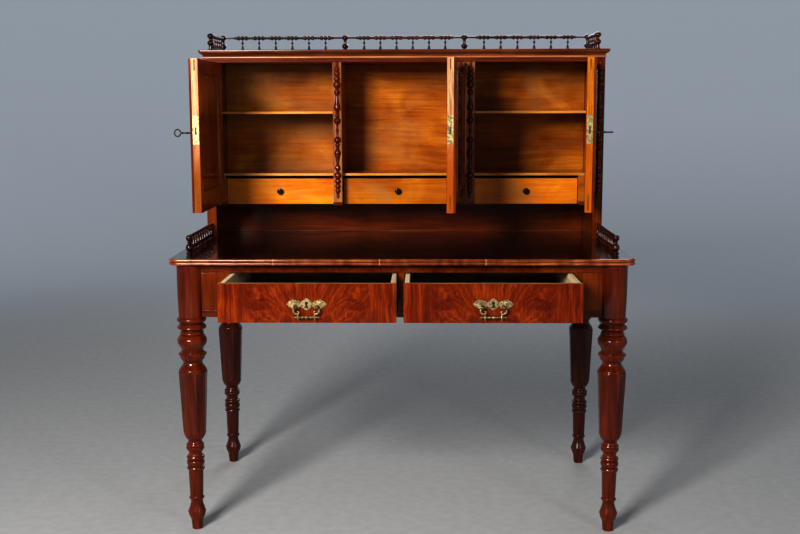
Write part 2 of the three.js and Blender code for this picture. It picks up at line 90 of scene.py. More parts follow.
class Graph:
    """A node material being built. Each method adds a node or a few and returns their output."""

    def __init__(self, name):
        self.material = bpy.data.materials.new(name)
        self.material.use_nodes = True
        self.nodes = self.material.node_tree.nodes
        self.links = self.material.node_tree.links
        self.shader = self.nodes["Principled BSDF"]

    def add(self, kind, output, inputs, **settings):
        node = self.nodes.new(kind)
        for key, value in settings.items():
            setattr(node, key, value)
        for key, value in inputs.items():
            self.feed(node.inputs[key], value)
        return node.outputs[output]

    def feed(self, socket, value):
        if isinstance(value, bpy.types.NodeSocket):
            self.links.new(value, socket)
        else:
            socket.default_value = value

    def position(self):
        return self.add("ShaderNodeTexCoord", "Object", {})

    def scaled_position(self, factor):
        inputs = {0: self.position(), 1: (factor, factor, factor)}
        return self.add("ShaderNodeVectorMath", 0, inputs, operation="MULTIPLY")

    def xyz(self):
        """The X, Y and Z of a point of the surface."""
        first = self.add("ShaderNodeSeparateXYZ", "X", {"Vector": self.position()})
        return [first.node.outputs[axis] for axis in "XYZ"]

    def combine(self, x, y, z):
        return self.add("ShaderNodeCombineXYZ", "Vector", {"X": x, "Y": y, "Z": z})

    def maths(self, operation, a, b=0.0):
        return self.add("ShaderNodeMath", "Value", {0: a, 1: b}, operation=operation)

    def times(self, a, b):
        return self.maths("MULTIPLY", a, b)

    def plus(self, a, b):
        return self.maths("ADD", a, b)

    def minus(self, a, b):
        return self.maths("SUBTRACT", a, b)

    def blend(self, *parts):
        """The sum of (value, weight) pairs."""
        total = 0.0
        for value, weight in parts:
            total = self.plus(self.times(value, weight), total)
        return total

    def noise(self, vector, detail=2.0, roughness=0.5, distortion=0.0):
        inputs = {"Vector": vector, "Scale": 1.0, "Detail": detail, "Roughness": roughness}
        inputs["Distortion"] = distortion
        return self.add("ShaderNodeTexNoise", "Fac", inputs)

    def remap(self, value, low, high, new_low=0.0, new_high=1.0):
        inputs = {"Value": value, "From Min": low, "From Max": high, "To Min": new_low, "To Max": new_high}
        return self.add("ShaderNodeMapRange", "Result", inputs, interpolation_type="SMOOTHSTEP")

    def ramp(self, factor, stops):
        colour = self.add("ShaderNodeValToRGB", "Color", {"Fac": factor})
        elements = colour.node.color_ramp.elements
        while len(elements) < len(stops):
            elements.new(0.5)
        for element, (place, tone) in zip(elements, stops):
            element.position = place
            element.color = (*tone, 1.0)
        return colour

    def mix(self, factor, a, b, blend="MIX"):
        """Each colour is a socket or a (red, green, blue)."""
        colour = self.add("ShaderNodeMix", 2, {0: factor}, data_type="RGBA", blend_type=blend)
        for index, value in ((6, a), (7, b)):
            self.feed(colour.node.inputs[index], (*value, 1.0) if isinstance(value, tuple) else value)
        return colour

    def crease(self):
        """How far the surface is hollow, below a half, or an edge, above it."""
        return self.add("ShaderNodeNewGeometry", "Pointiness", {})

    def worn(self, colour, dark, strength=1.0):
        """Grooves are made darker and edges are rubbed a little lighter."""
        crease = self.crease()
        groove = self.remap(crease, 0.42, 0.5, 0.75 * strength, 0.0)
        rubbed = self.remap(crease, 0.505, 0.57, 0.0, 0.35 * strength)
        return self.mix(rubbed, self.mix(groove, colour, dark), RUBBED, "SOFT_LIGHT")

    def bump(self, height, distance, strength=1.0):
        inputs = {"Height": height, "Distance": distance, "Strength": strength}
        self.feed(self.shader.inputs["Normal"], self.add("ShaderNodeBump", "Normal", inputs))

    def finish(self, colour, roughness, coat=0.0, metallic=0.0, specular=0.5, gloss=FLAT_GLOSS):
        self.feed(self.shader.inputs["Base Color"], colour)
        self.feed(self.shader.inputs["Roughness"], roughness)
        constants = {
            "Metallic": metallic, "Specular IOR Level": specular, "Coat Weight": coat,
            "Coat Roughness": gloss[0], "Coat IOR": gloss[1],
        }
        for name, value in constants.items():
            self.shader.inputs[name].default_value = value
        return self.material


# How each wood is coloured, from its darkest to its lightest streaks.
TONES = {
    "mahogany": ((0.064, 0.0080, 0.0005), (0.128, 0.0215, 0.0010), (0.208, 0.0430, 0.0026)),  # boards
    "top": ((0.009, 0.0012, 0.0003), (0.023, 0.0032, 0.0007), (0.052, 0.0090, 0.0016)),  # table top
    "edge": ((0.095, 0.0180, 0.0045), (0.225, 0.0620, 0.0190), (0.410, 0.1550, 0.0550)),
    "cornice": ((0.060, 0.0110, 0.0024), (0.135, 0.0340, 0.0090), (0.240, 0.0800, 0.0260)),
    "turned": ((0.036, 0.0034, 0.0003), (0.096, 0.0112, 0.0006), (0.165, 0.0250, 0.0014)),  # turnings
    "turned_painted_shade": ((0.018, 0.0018, 0.0002), (0.050, 0.0058, 0.0004), (0.090, 0.0135, 0.0009)),  # rear legs: the turned wood darkened as painted shade
    "gallery": ((0.007, 0.0010, 0.0004), (0.034, 0.0042, 0.0009), (0.095, 0.0150, 0.0028)),
    "flame": ((0.080, 0.0062, 0.0006), (0.148, 0.0172, 0.0011), (0.275, 0.0480, 0.0034)),  # veneers
    "inner": ((0.150, 0.0155, 0.0014), (0.330, 0.0440, 0.0034), (0.460, 0.0760, 0.0062)),  # insides of doors
    "facing": ((0.150, 0.0470, 0.0180), (0.320, 0.1350, 0.0600), (0.500, 0.2500, 0.1300)),  # partition fronts
    "bead": ((0.260, 0.0950, 0.0380), (0.420, 0.1800, 0.0850), (0.580, 0.2900, 0.1600)),  # under the cornice, paler as a painted highlight
    "honey": ((0.230, 0.0520, 0.0014), (0.410, 0.1180, 0.0040), (0.600, 0.2300, 0.0180)),  # compartments
    "amber": ((0.310, 0.0700, 0.0014), (0.430, 0.1220, 0.0030), (0.570, 0.2150, 0.0120)),
    # A lighter copy of the amber for the left and right small drawers: painted light.
    "amber_painted_light": ((0.500, 0.1250, 0.0030), (0.660, 0.2050, 0.0065), (0.800, 0.3300, 0.0240)),
    # Paler wood for the front edges of the shelves and floors: a painted highlight.
    "shelf_edge_highlight": ((0.430, 0.1600, 0.0260), (0.620, 0.2800, 0.0650), (0.780, 0.4300, 0.1400)),
    "core_edge": ((0.300, 0.1200, 0.0350), (0.460, 0.2200, 0.0800), (0.620, 0.3400, 0.1500)),  # drawer fronts
    "pale": ((0.640, 0.4800, 0.2600), (0.810, 0.6700, 0.4300), (0.910, 0.8100, 0.6000)),  # drawers, runners
    "end": ((0.110, 0.0260, 0.0040), (0.200, 0.0550, 0.0080), (0.320, 0.1050, 0.0200)),  # tenon ends
    "back": ((0.045, 0.0160, 0.0050), (0.105, 0.0420, 0.0140), (0.180, 0.0800, 0.0300)),  # back planks
}
CLOUDY = ("honey", "amber", "amber_painted_light")  # woods with cloudy rather than streaky colour
FADED = (0.410, 0.2080, 0.0680)  # the dull tan of their faded places
LEFT_COMPARTMENT = (-0.23, -0.18)  # metres: left of here the honey wood is more faded
DRAWER_PAINTED_SHADE = (0.110, 0.0500, 0.0140)  # the brown painted shade on a drawer's sides, lower down inside the box
DRAWER_SHADE_FROM, DRAWER_SHADE_FULL = 0.018, 0.060  # metres below the drawer's top
JOINT_LINE = (0.62, 0.27, 0.07)
TARNISH = (0.05, 0.035, 0.015)
made_woods = {}


class Wood(Graph):
    """A wood whose grain runs along one axis."""

    def __init__(self, name, grain, shift=0.0):
        """Finds coordinates along the grain and two across it, with the fibres gently wandering."""
        super().__init__(name)
        x, y, z = self.xyz()
        along, wide, deep = {"x": (x, y, z), "y": (y, x, z), "z": (z, x, y)}[grain]
        along = self.plus(along, shift)
        self.space = (along, wide, deep)
        wander = self.times(self.minus(self.streaks(1.8, 5.0, 2.0), 0.5), 0.05)
        self.space = (along, self.plus(wide, wander), self.plus(deep, wander))

    def streaks(self, along_scale, across_scale, detail, roughness=0.5, distortion=0.0):
        """Noise stretched along the grain."""
        scales = (along_scale, across_scale, across_scale)
        vector = self.combine(*[self.times(value, scale) for value, scale in zip(self.space, scales)])
        return self.noise(vector, detail, roughness, distortion)

    def tones(self, value, tone, low, high, middle=0.50):
        """The tone's dark, middle and light colours at three values."""
        return self.ramp(value, tuple(zip((low, middle, high), TONES[tone])))

    def polish(self, colour, dark, roughness, coat, pore_depth, ripple, gloss=FLAT_GLOSS):
        """Open pores, an uneven sheen and the faint waviness of hand polishing."""
        pores = self.remap(self.streaks(110.0, 1500.0, 1.0), 0.58, 0.72)
        colour = self.mix(self.times(pores, 0.45), colour, dark)
        sheen = self.remap(self.streaks(5.0, 16.0, 3.0), 0.3, 0.7, roughness - 0.06, roughness + 0.10)
        waves = self.streaks(9.0, 22.0, 1.0)
        self.bump(self.plus(self.times(waves, ripple), self.times(pores, -pore_depth)), 0.001)
        return self.finish(colour, sheen, coat, specular=0.05, gloss=gloss)


def wood(tone, grain, shift=0.0, roughness=0.34, coat=0.8, figure=0.5, worn=0.0, ripple=0.35):
    """Straight to wavy grain. A larger figure gives broader, more contrasted patches."""
    key = (tone, grain, shift, roughness, coat, figure, worn, ripple)
    if key in made_woods:
        return made_woods[key]
    graph = Wood(f"{tone}_{grain}_{len(made_woods)}", grain, shift)
    dark = TONES[tone][0]
    fibre = graph.streaks(5.0, 120.0, 5.0, 0.65)
    broad = graph.streaks(2.4, 17.0, 3.0, 0.55, 0.6)
    mottle = graph.streaks(6.0, 9.0, 2.0, 0.5, 1.0)
    streaks = graph.blend((fibre, 1.0 - figure), (broad, figure))
    cloudy = tone in CLOUDY
    share, spread = (0.45, 0.13) if cloudy else (0.20, 0.12)
    value = graph.blend((streaks, 1.0 - share), (mottle, share))
    colour = graph.tones(value, tone, 0.50 - spread, 0.50 + spread)
    if cloudy:
        patches = graph.streaks(3.4, 6.0, 4.0, 0.6, 0.8)
        leftward = graph.remap(graph.xyz()[0], *LEFT_COMPARTMENT, 0.13 if tone == "honey" else 0.0, 0.0)
        faded = graph.remap(graph.plus(patches, leftward), 0.44, 0.74, 0.0, 0.62)
        colour = graph.mix(faded, colour, FADED)
    if worn:
        colour = graph.worn(colour, dark, worn)
    gloss = ROUND_GLOSS if tone in ROUND_TONES else FLAT_GLOSS
    made_woods[key] = graph.polish(colour, dark, roughness, coat, 0.10, ripple, gloss)
    return made_woods[key]


def drawer_wood_with_painted_shade(name, top):
    """Pale along the upper edges of a drawer's sides, darkened brown by painted shade further down."""
    graph = Wood(name, "y", 0.7)
    fibre = graph.streaks(5.0, 110.0, 4.0, 0.6)
    broad = graph.streaks(3.0, 20.0, 3.0, 0.55)
    colour = graph.tones(graph.blend((fibre, 0.6), (broad, 0.4)), "pale", 0.37, 0.63)
    height = graph.blend((graph.xyz()[2], 1.0), (broad, 0.016))
    # Painted shade: below the top edge the sides turn brown, as the inside of the box lies in shadow.
    painted_shade = graph.remap(height, top - DRAWER_SHADE_FULL, top - DRAWER_SHADE_FROM, 0.85, 0.0)
    return graph.polish(graph.mix(painted_shade, colour, DRAWER_PAINTED_SHADE), TONES["pale"][0], 0.6, 0.0, 0.10, 0.3)


# The doors' core wood: deep orange at the foot of the door, with painted light making it paler towards the
# top, most on the left door.
DOOR_CORE_COLOURS_AND_LIGHT = {
    "left": ((0.27, 0.088, 0.012), (0.80, 0.41, 0.23)),
    "middle": ((0.37, 0.090, 0.005), (0.58, 0.36, 0.19)),
    "right": ((0.45, 0.120, 0.005), (0.53, 0.195, 0.011)),
}


def door_core_wood_with_painted_light(name, bottom, top):
    graph = Wood(f"door_core_{name}", "z", 0.4)
    deep, pale = DOOR_CORE_COLOURS_AND_LIGHT[name]
    fibre = graph.streaks(5.0, 150.0, 5.0, 0.65)
    broad = graph.streaks(7.0, 30.0, 3.0, 0.55, 0.5)
    streaks = graph.blend((fibre, 0.6), (broad, 0.4))
    # Painted light: the core pales towards the top, where the light falls on it.
    rise = graph.remap(graph.xyz()[2], bottom, top)
    share = graph.remap(graph.blend((rise, 1.0), (broad, 0.5)), 0.45, 1.15)
    dark = tuple(0.55 * part for part in deep)
    colour = graph.mix(graph.remap(streaks, 0.36, 0.54, 0.65, 0.0), graph.mix(share, deep, pale), dark)
    return graph.polish(colour, dark, 0.5, 0.25, 0.10, 0.2)


def flame_veneer(name, centre_x, centre_z):
    """Crotch figure: fine rays fan up from below the handle, curls beside it, stripes at the ends."""
    graph = Wood(name, "z")
    x, _, z = graph.xyz()
    side = graph.minus(x, centre_x)
    out = graph.maths("ABSOLUTE", side)
    up = graph.minus(z, centre_z)

    drift = graph.noise(graph.combine(graph.times(side, 22.0), 0.0, graph.times(up, 16.0)))
    opening = graph.blend((graph.plus(up, 0.055), 0.80), (1.0, 0.036))
    ray = graph.blend((graph.maths("DIVIDE", out, opening), 1.0), (drift, 0.30))
    fan = graph.noise(graph.combine(graph.times(ray, 13.0), graph.times(up, 3.0), 3.1), 4.0, 0.7)
    near = graph.remap(ray, 0.55, 1.55, 1.0, 0.0)

    bend = graph.noise(graph.combine(graph.times(out, 24.0), 0.0, graph.times(up, 26.0)), 2.0)
    curl_x = graph.blend((out, 34.0), (bend, 1.8))
    curl_z = graph.blend((up, 58.0), (bend, 4.2), (out, -34.0))
    curls = graph.noise(graph.combine(curl_x, 0.5, curl_z), 4.0, 0.6, 0.5)

    stripe_x = graph.blend((side, 95.0), (bend, 1.3))
    stripes = graph.noise(graph.combine(stripe_x, 0.0, graph.times(z, 5.0)), 4.0, 0.62)
    outer = graph.remap(out, 0.120, 0.190)

    beside = graph.times(graph.minus(1.0, near), graph.minus(1.0, outer))
    figure = graph.blend((fan, near), (curls, beside), (stripes, outer))
    patches = graph.streaks(9.0, 7.0, 3.0, 0.5, 0.8)
    fibre = graph.streaks(12.0, 240.0, 3.0, 0.6)
    value = graph.blend((figure, 0.60), (patches, 0.24), (fibre, 0.16), (near, 0.022))
    return graph.polish(graph.tones(value, "flame", 0.38, 0.61), TONES["flame"][0], 0.28, 0.9, 0.06, 0.2)


EDGE_JOINTS = (-0.348, -0.058, 0.230)  # metres: where lengths of the edge meet


def edge_banding():
    """The moulded edge: lengths of straight-grained wood, each a little different, with pale joints."""
    graph = Wood("moulded_edge", "x", 0.3)
    dark = TONES["edge"][0]
    x = graph.xyz()[0]
    fibre = graph.streaks(5.0, 170.0, 4.0, 0.6)
    curl = graph.streaks(46.0, 12.0, 2.0, 0.5)
    tint, near = 0.0, 1.0
    for joint in EDGE_JOINTS:
        tint = graph.plus(tint, graph.maths("GREATER_THAN", x, joint))
        near = graph.maths("MINIMUM", near, graph.maths("ABSOLUTE", graph.minus(x, joint)))
    shade = graph.maths("PINGPONG", tint, 1.0)
    value = graph.blend((fibre, 0.62), (curl, 0.38), (shade, 0.03))
    colour = graph.tones(value, "edge", 0.37, 0.66, 0.52)
    colour = graph.mix(graph.remap(near, 0.0014, 0.0022, 0.75, 0.0), colour, JOINT_LINE)
    return graph.polish(graph.worn(colour, dark, 0.7), dark, 0.26, 1.0, 0.05, 0.12, ROUND_GLOSS)


def ebonised():
    """Black-stained wood under polish."""
    graph = Wood("ebonised_wood", "y")
    fibre = graph.streaks(40.0, 700.0, 3.0)
    colour = graph.ramp(fibre, ((0.35, (0.006, 0.004, 0.003)), (0.65, (0.030, 0.018, 0.012))))
    return graph.polish(colour, (0.004, 0.003, 0.002), 0.30, 0.9, 0.05, 0.1)


def metal(name, bright, dull, roughness, grime):
    """Metal gone dull in its hollows, with brighter and duller spots."""
    graph = Graph(name)
    spots = graph.noise(graph.scaled_position(160.0), 4.0, 0.65)
    colour = graph.mix(graph.remap(spots, 0.40, 0.62), bright, dull)
    colour = graph.mix(graph.remap(graph.crease(), 0.40, 0.5, grime, 0.0), colour, TARNISH)
    graph.bump(spots, 0.0004, 0.35)
    return graph.finish(colour, graph.remap(spots, 0.35, 0.65, roughness, roughness + 0.22), metallic=1.0)


def painted_shade_material(name, colour, roughness):
    """Painted shade: dark matter standing for the shadow inside keyholes, with a slight unevenness."""
    graph = Graph(name)
    shade = graph.remap(graph.noise(graph.scaled_position(300.0)), 0.3, 0.7)
    light = tuple(1.6 * part for part in colour)
    return graph.finish(graph.mix(shade, colour, light), roughness)


BRASS = metal("aged_brass", (0.45, 0.36, 0.20), (0.24, 0.18, 0.09), 0.46, 0.9)
LOCK_BRASS = metal("lock_brass", (0.62, 0.48, 0.25), (0.42, 0.31, 0.14), 0.44, 0.5)
TARNISHED_BRASS = metal("tarnished_brass", (0.33, 0.28, 0.15), (0.22, 0.18, 0.09), 0.48, 0.7)
DARK_BRASS = metal("dark_brass", (0.17, 0.12, 0.05), (0.07, 0.05, 0.022), 0.38, 0.8)
STEEL = metal("dark_steel", (0.075, 0.070, 0.066), (0.035, 0.032, 0.030), 0.36, 0.8)
GREY_STEEL = metal("grey_steel", (0.42, 0.41, 0.40), (0.22, 0.21, 0.20), 0.35, 0.6)
# Painted shade for the insides of keyholes.
KEYHOLE_SHADE = painted_shade_material("keyhole_painted_shade", (0.008, 0.006, 0.005), 0.8)
EBONISED = ebonised()


# ---------- shapes ----------

NO_MOVE = Matrix.Identity(4)
UP_TO_FRONT = Matrix.Rotation(math.pi / 2, 4, "X")  # turns +Z into -Y
UP_TO_BACK = Matrix.Rotation(-math.pi / 2, 4, "X")
UP_TO_RIGHT = Matrix.Rotation(math.pi / 2, 4, "Y")  # turns +Z into +X
RIGHT_TO_BACK = Matrix.Rotation(math.pi / 2, 4, "Z")  # turns +X into +Y
SHARP_ANGLE = math.radians(32)
BEVEL_ANGLE = math.radians(40)


class Shape:
    """Corners and faces gathered for one piece, in millimetres."""

    def __init__(self):
        self.corners = []
        self.faces = []

    def add(self, corners, faces, move=NO_MOVE):
        start = len(self.corners)
        self.corners += [move @ Vector(corner) for corner in corners]
        self.faces += [[start + index for index in face] for face in faces]
        return self

    def join(self, other, move=NO_MOVE):
        return self.add(other.corners, other.faces, move)

    def moved(self, move):
        return Shape().join(self, move)


def at(x, y, z):
    return Matrix.Translation((x, y, z))


def piece(shape, name, material, body, stands_for=(), place=NO_MOVE, bevel=0.0):
    """Makes the shape into an object that rides on a CAD body."""
    mesh = bpy.data.meshes.new(name)
    mesh.from_pydata([corner * MM for corner in shape.corners], [], shape.faces)
    work = bmesh.new()
    work.from_mesh(mesh)
    bmesh.ops.recalc_face_normals(work, faces=work.faces)
    work.to_mesh(mesh)
    work.free()
    mesh.shade_smooth()
    mesh.materials.append(material)
    made = bpy.data.objects.new(name, mesh)
    bpy.context.scene.collection.objects.link(made)
    made.matrix_world = place
    if bevel:
        soften(made, bevel)
    else:
        mesh.set_sharp_from_angle(angle=SHARP_ANGLE)
    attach(made, body)
    if stands_for:
        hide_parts(*stands_for)


def turning(shape, name, node, material, place=NO_MOVE):
    """A turned piece of the desk that stands for a CAD node."""
    piece(shape, name, material, "desk", [node], place)


def joinery(shape, name, material, bevel=0.0, stands_for=()):
    """A board or moulding of the desk."""
    piece(shape, name, material, "desk", stands_for, bevel=bevel)


def soften(made, width):
    """Rounds the sharp edges of a board slightly, as planed and sanded edges are."""
    rounding = made.modifiers.new("rounded_edges", "BEVEL")
    rounding.width = width * MM
    rounding.segments = 2
    rounding.limit_method = "ANGLE"
    rounding.angle_limit = BEVEL_ANGLE
    rounding.harden_normals = True


def between(before, start, end, after, t):
    """A point on a smooth curve through four values, between the middle two."""
    return 0.5 * (2 * start + (end - before) * t + (2 * before - 5 * start + 4 * end - after) * t * t
                  + (3 * start - before - 3 * end + after) * t ** 3)


def smooth(points, steps=4):
    """A smooth curve through the points. Two points stay a straight line."""
    if len(points) < 3:
        return list(points)
    ends = [points[0], *points, points[-1]]
    curve = [points[0]]
    for four in zip(ends, ends[1:], ends[2:], ends[3:]):
        for step in range(1, steps + 1):
            curve.append(tuple(between(*values, step / steps) for values in zip(*four)))
    return curve


def profile(*strokes):
    """Strokes of (height, radius) joined end to end. Each is smooth, and corners lie between them."""
    joined = []
    for stroke in strokes:
        for point in smooth(stroke):
            if not joined or math.dist(point, joined[-1]) > 1e-4:
                joined.append(point)
    return joined


def tube(rings, closed=False):
    """A skin over rings with equal numbers of corners. Its ends are capped unless it closes on itself."""
    count, size = len(rings), len(rings[0])
    faces = []
    for k in range(count if closed else count - 1):
        low, high = k * size, (k + 1) % count * size
        for corner in range(size):
            after = (corner + 1) % size
            faces.append((low + corner, low + after, high + after, high + corner))
    if not closed:
        faces.append(tuple(reversed(range(size))))
        faces.append(tuple(range((count - 1) * size, count * size)))
    return Shape().add([corner for ring in rings for corner in ring], faces)


def ellipse(across, up, steps):
    angles = [2 * math.pi * k / steps for k in range(steps)]
    return [(across * math.cos(angle), up * math.sin(angle)) for angle in angles]


def turned(outline, sides=32, start=0.0, sweep=2 * math.pi, facets=None):
    """A turned piece on the Z axis. A sweep of half a turn gives a half column with a flat back."""
    count = sides if sweep == 2 * math.pi else sides + 1
    angles = [start + sweep * k / sides for k in range(count)]
    rings = []
    for height, radius in outline:
        flatness = facets(height) if facets else 0.0
        reaches = [radius * (1 - flatness + flatness * octagon_reach(angle)) for angle in angles]
        rings.append([(reach * math.cos(angle), reach * math.sin(angle), height)
                      for reach, angle in zip(reaches, angles)])
    return tube(rings)


def octagon_reach(angle):
    """How far a regular octagon with a unit corner radius reaches at an angle. A flat faces 0 degrees."""
    eighth = math.pi / 4
    off = (angle + eighth / 2) % eighth - eighth / 2
    return math.cos(eighth / 2) / math.cos(off)


def rod(radius, start, end, sides):
    """A plain round bar on the Z axis."""
    return turned([(start, radius), (end, radius)], sides)


def board(low, high):
    """A box between two corners."""
    (x0, y0, z0), (x1, y1, z1) = low, high
    x0, x1 = min(x0, x1), max(x0, x1)
    loop = [(x0, y0), (x1, y0), (x1, y1), (x0, y1)]
    return tube([[(x, y, z) for x, y in loop] for z in (z0, z1)])


def rounded_corners(x0, x1, y0, y1, radius, steps=8):
    """A rectangle with rounded corners, as a loop of points."""
    centres = ((x1 - radius, y0 + radius, -90), (x1 - radius, y1 - radius, 0),
               (x0 + radius, y1 - radius, 90), (x0 + radius, y0 + radius, 180))
    loop = []
    for cx, cy, first in centres:
        for step in range(steps + 1):
            angle = math.radians(first + 90 * step / steps)
            loop.append((cx + radius * math.cos(angle), cy + radius * math.sin(angle)))
    return loop


def moulded_slab(low, high, corner, section, flat_back=False):
    """A slab with a moulding round its edge. The section lists (inset, height) from the bottom up."""
    rings = []
    for inset, height in section:
        back = high.y if flat_back else high.y - inset
        loop = rounded_corners(low.x + inset, high.x - inset, low.y + inset, back, max(corner - inset, 0.6))
        rings.append([(x, y, height) for x, y in loop])
    return tube(rings)


def picture_frame(x0, x1, z0, z1, section):
    """A mitred moulding inside a rectangle. The section lists (inset, y) round its closed outline."""
    rings = []
    for inset, y in section:
        left, right, bottom, top = x0 + inset, x1 - inset, z0 + inset, z1 - inset
        rings.append([(left, y, bottom), (right, y, bottom), (right, y, top), (left, y, top)])
    return tube(rings, closed=True)


def ring_about(point, radius, side, other, sides):
    """A ring of corners round a point, in the plane of two unit vectors."""
    return [point + side * x + other * y for x, y in ellipse(radius, radius, sides)]


def swept(path, radii, sides=10):
    """A round bar along a path, with a radius for each point."""
    points = [Vector(point) for point in path]
    heading = (points[1] - points[0]).normalized()
    side = heading.orthogonal().normalized()
    rings = []
    for k, point in enumerate(points):
        ahead = (points[min(k + 1, len(points) - 1)] - points[max(k - 1, 0)]).normalized()
        side = (heading.rotation_difference(ahead) @ side).normalized()
        heading = ahead
        rings.append(ring_about(point, radii[k], side, heading.cross(side), sides))
    return tube(rings)


def swept_loop(path, radius, sides):
    """A closed ring of round wire along a flat loop."""
    points = [Vector(point) for point in path]
    normal = (points[1] - points[0]).cross(points[2] - points[1]).normalized()
    rings = []
    for k, point in enumerate(points):
        ahead = (points[(k + 1) % len(points)] - points[k - 1]).normalized()
        rings.append(ring_about(point, radius, ahead.cross(normal).normalized(), normal, sides))
    return tube(rings, closed=True)


def cut_plate(outline, holes, front, back):
    """A flat plate drawn in X and Z, with holes, between two depths."""
    loops = [outline, *holes]
    flat = [point for loop in loops for point in loop]
    count = len(flat)
    triangles = tessellate_polygon([[Vector((x, z, 0)) for x, z in loop] for loop in loops])
    corners = [(x, y, z) for y in (front, back) for x, z in flat]
    faces = [tuple(triangle) for triangle in triangles]
    faces += [tuple(count + index for index in reversed(triangle)) for triangle in triangles]
    start = 0
    for loop in loops:
        size = len(loop)
        for k in range(size):
            a, b = start + k, start + (k + 1) % size
            faces.append((a, b, count + b, count + a))
        start += size
    return Shape().add(corners, faces)


def keyhole(scale):
    """The outline of a keyhole: a round hole over a slot."""
    loop = []
    for step in range(13):
        angle = math.radians(-60 + 300 * step / 12)
        loop.append((2.1 * scale * math.cos(angle), scale * (1.6 + 2.1 * math.sin(angle))))
    return [*loop, (-1.5 * scale, -4.6 * scale), (1.5 * scale, -4.6 * scale)]


def bead(length, radius, sides=14, steps=8):
    """A barrel-shaped bead along +X, centred on the origin."""
    turns = [math.pi * step / steps for step in range(steps + 1)]
    outline = [(-length / 2 * math.cos(turn), max(0.4, radius * math.sin(turn) ** 0.75)) for turn in turns]
    return turned(outline, sides).moved(UP_TO_RIGHT)


def screw_head(radius):
    """A domed screw head facing -Y, centred on the origin."""
    dome = [(0, radius), (0.25, radius * 0.98), (0.7, radius * 0.75), (0.9, 0.3)]
    return turned(dome, 16).moved(UP_TO_FRONT)


# ---------- turned profiles: heights and radii in millimetres ----------

LEG = profile(
    [(0, 13.6), (1.6, 15)],
    [(1.6, 15), (14, 15.9), (27.6, 17.5), (33.6, 20), (39.5, 22.5), (48.8, 24.4)],
    [(48.8, 24.4), (49.6, 25.2)], [(49.6, 25.2), (53, 25.2)], [(53, 25.2), (53.8, 24.2)],
    [(53.8, 24.2), (59, 22.5), (71, 18.7), (79, 17), (84, 17.3)],
    [(84, 17.3), (88.5, 19.3), (91.2, 21.4)], [(91.2, 21.4), (92.6, 21.4)],
    [(92.6, 21.4), (95.5, 19.2), (98, 18.6)],
    [(98, 18.6), (106.6, 18.8), (172, 20.8)],
    [(173, 21.8), (176, 23.8), (179.5, 24.7), (183, 23.2)], [(184, 21.0), (187, 21.0)],
    [(187.6, 22.4), (190.5, 24.0), (195, 24.8), (199.5, 24.6), (202.6, 22.8)],
    [(203.2, 21.4), (205.2, 21.4)],
    [(205.8, 22.6), (208, 24.5), (211, 25.2), (214.5, 23.6)],
    [(215.2, 21.4), (218, 19.2), (222, 18.5), (227, 19.7), (231, 22.0)],
    [(231.6, 22.8), (234.5, 24.7), (238, 25.4), (241.6, 24.6)], [(242.2, 23.6), (243.6, 23.6)],
    [(244.2, 24.4), (247, 25.0), (250, 24.0)],
    [(250.6, 22.6), (254, 20.4), (257.5, 19.5), (261, 20.3)],
    [(261, 20.3), (265, 23.2), (270, 26.8), (277, 29.6), (283, 31.2), (289, 32.2)],
    [(289, 32.2), (454, 40.2)],
    [(454, 40.2), (457.5, 40.4), (460.8, 39.2)],
    [(461.2, 38.0), (463.6, 38.3), (467, 36.6), (471.8, 33.4), (477.7, 29), (483.6, 26.3)],
    [(483.6, 26.3), (488.6, 27.6), (494.5, 32.2), (502, 35.1), (507.6, 38.6)],
    [(507.6, 38.6), (508.6, 39.2)], [(508.6, 39.2), (510.4, 38.9)],
    [(510.4, 38.9), (513.4, 34.6), (516, 31.0)],
    [(516, 30.2), (522.6, 30.2)],
    [(522.6, 30.2), (531, 34.5), (539, 39.2), (547.8, 40.9), (553.7, 39.5), (561.6, 34.3), (563.4, 31.6)],
    [(563.4, 30.2), (565, 32.1), (567.5, 32.9), (570, 32.1), (571.8, 29.8)],
    [(571.8, 29.3), (574.5, 29.9), (578, 33.6), (582, 39.3)],
    [(582, 39.3), (583.4, 40.5)], [(583.4, 40.5), (585.4, 40.3)], [(585.4, 40.3), (589, 38.0), (593, 34.2)],
    [(593, 32.2), (598, 32.2)],
    [(598, 33.8), (600.5, 37.8), (605, 40.3), (609, 39.9), (612.2, 37.4), (613.4, 35.2)],
    [(613.4, 34.5), (622, 34.8), (660, 36.2), (700, 37.0), (761.7, 37.3)],
)

# Half columns: from the middle upwards. The lower half is its mirror image.
HALF_COLUMN_UP = [
    [(0, 3.6), (2.6, 4.8)], [(2.6, 4.8), (5.2, 3.2), (12, 3.0), (19, 3.6)],
    [(19, 4.4), (23, 7.6), (30, 9.6), (36, 7.8), (39, 4.6)],
    [(39, 4.0), (41.5, 5.8), (45, 6.6), (48, 5.6), (50, 3.8)], [(50, 3.6), (52, 5.4), (55, 5.4), (57, 3.8)],
    [(57, 3.8), (61, 6.8), (67, 9.0), (73, 8.6), (86, 5.8), (98, 4.0), (106, 3.5)],
    [(106, 3.8), (109, 6.2), (112.5, 7.0), (119, 7.8), (122, 4.4)], [(122, 4.0), (128, 4.2)],
    [(128, 4.8), (132, 8.2), (139, 9.8), (145.5, 8.2), (149, 5.0)],
    [(149, 4.6), (152, 7.4), (157, 8.6), (161, 7.4), (163.5, 4.6)],
    [(163.5, 4.4), (167, 6.8), (172, 7.9), (177, 6.6), (180, 4.2)],
    [(180, 4.0), (182, 6.6), (186, 7.3), (191, 5.4), (197, 3.2)],
    [(197, 2.8), (200, 4.2), (204, 4.2), (207, 2.2), (212, 0.6)],
]

KNOB = profile(
    [(0, 5.2), (0.9, 5.2)], [(0.9, 3.9), (3.0, 3.3), (5.0, 4.4)],
    [(5.0, 6.6), (6.2, 8.9), (7.9, 9.7), (9.4, 8.8), (10.5, 6.2), (11.0, 0.5)],
)


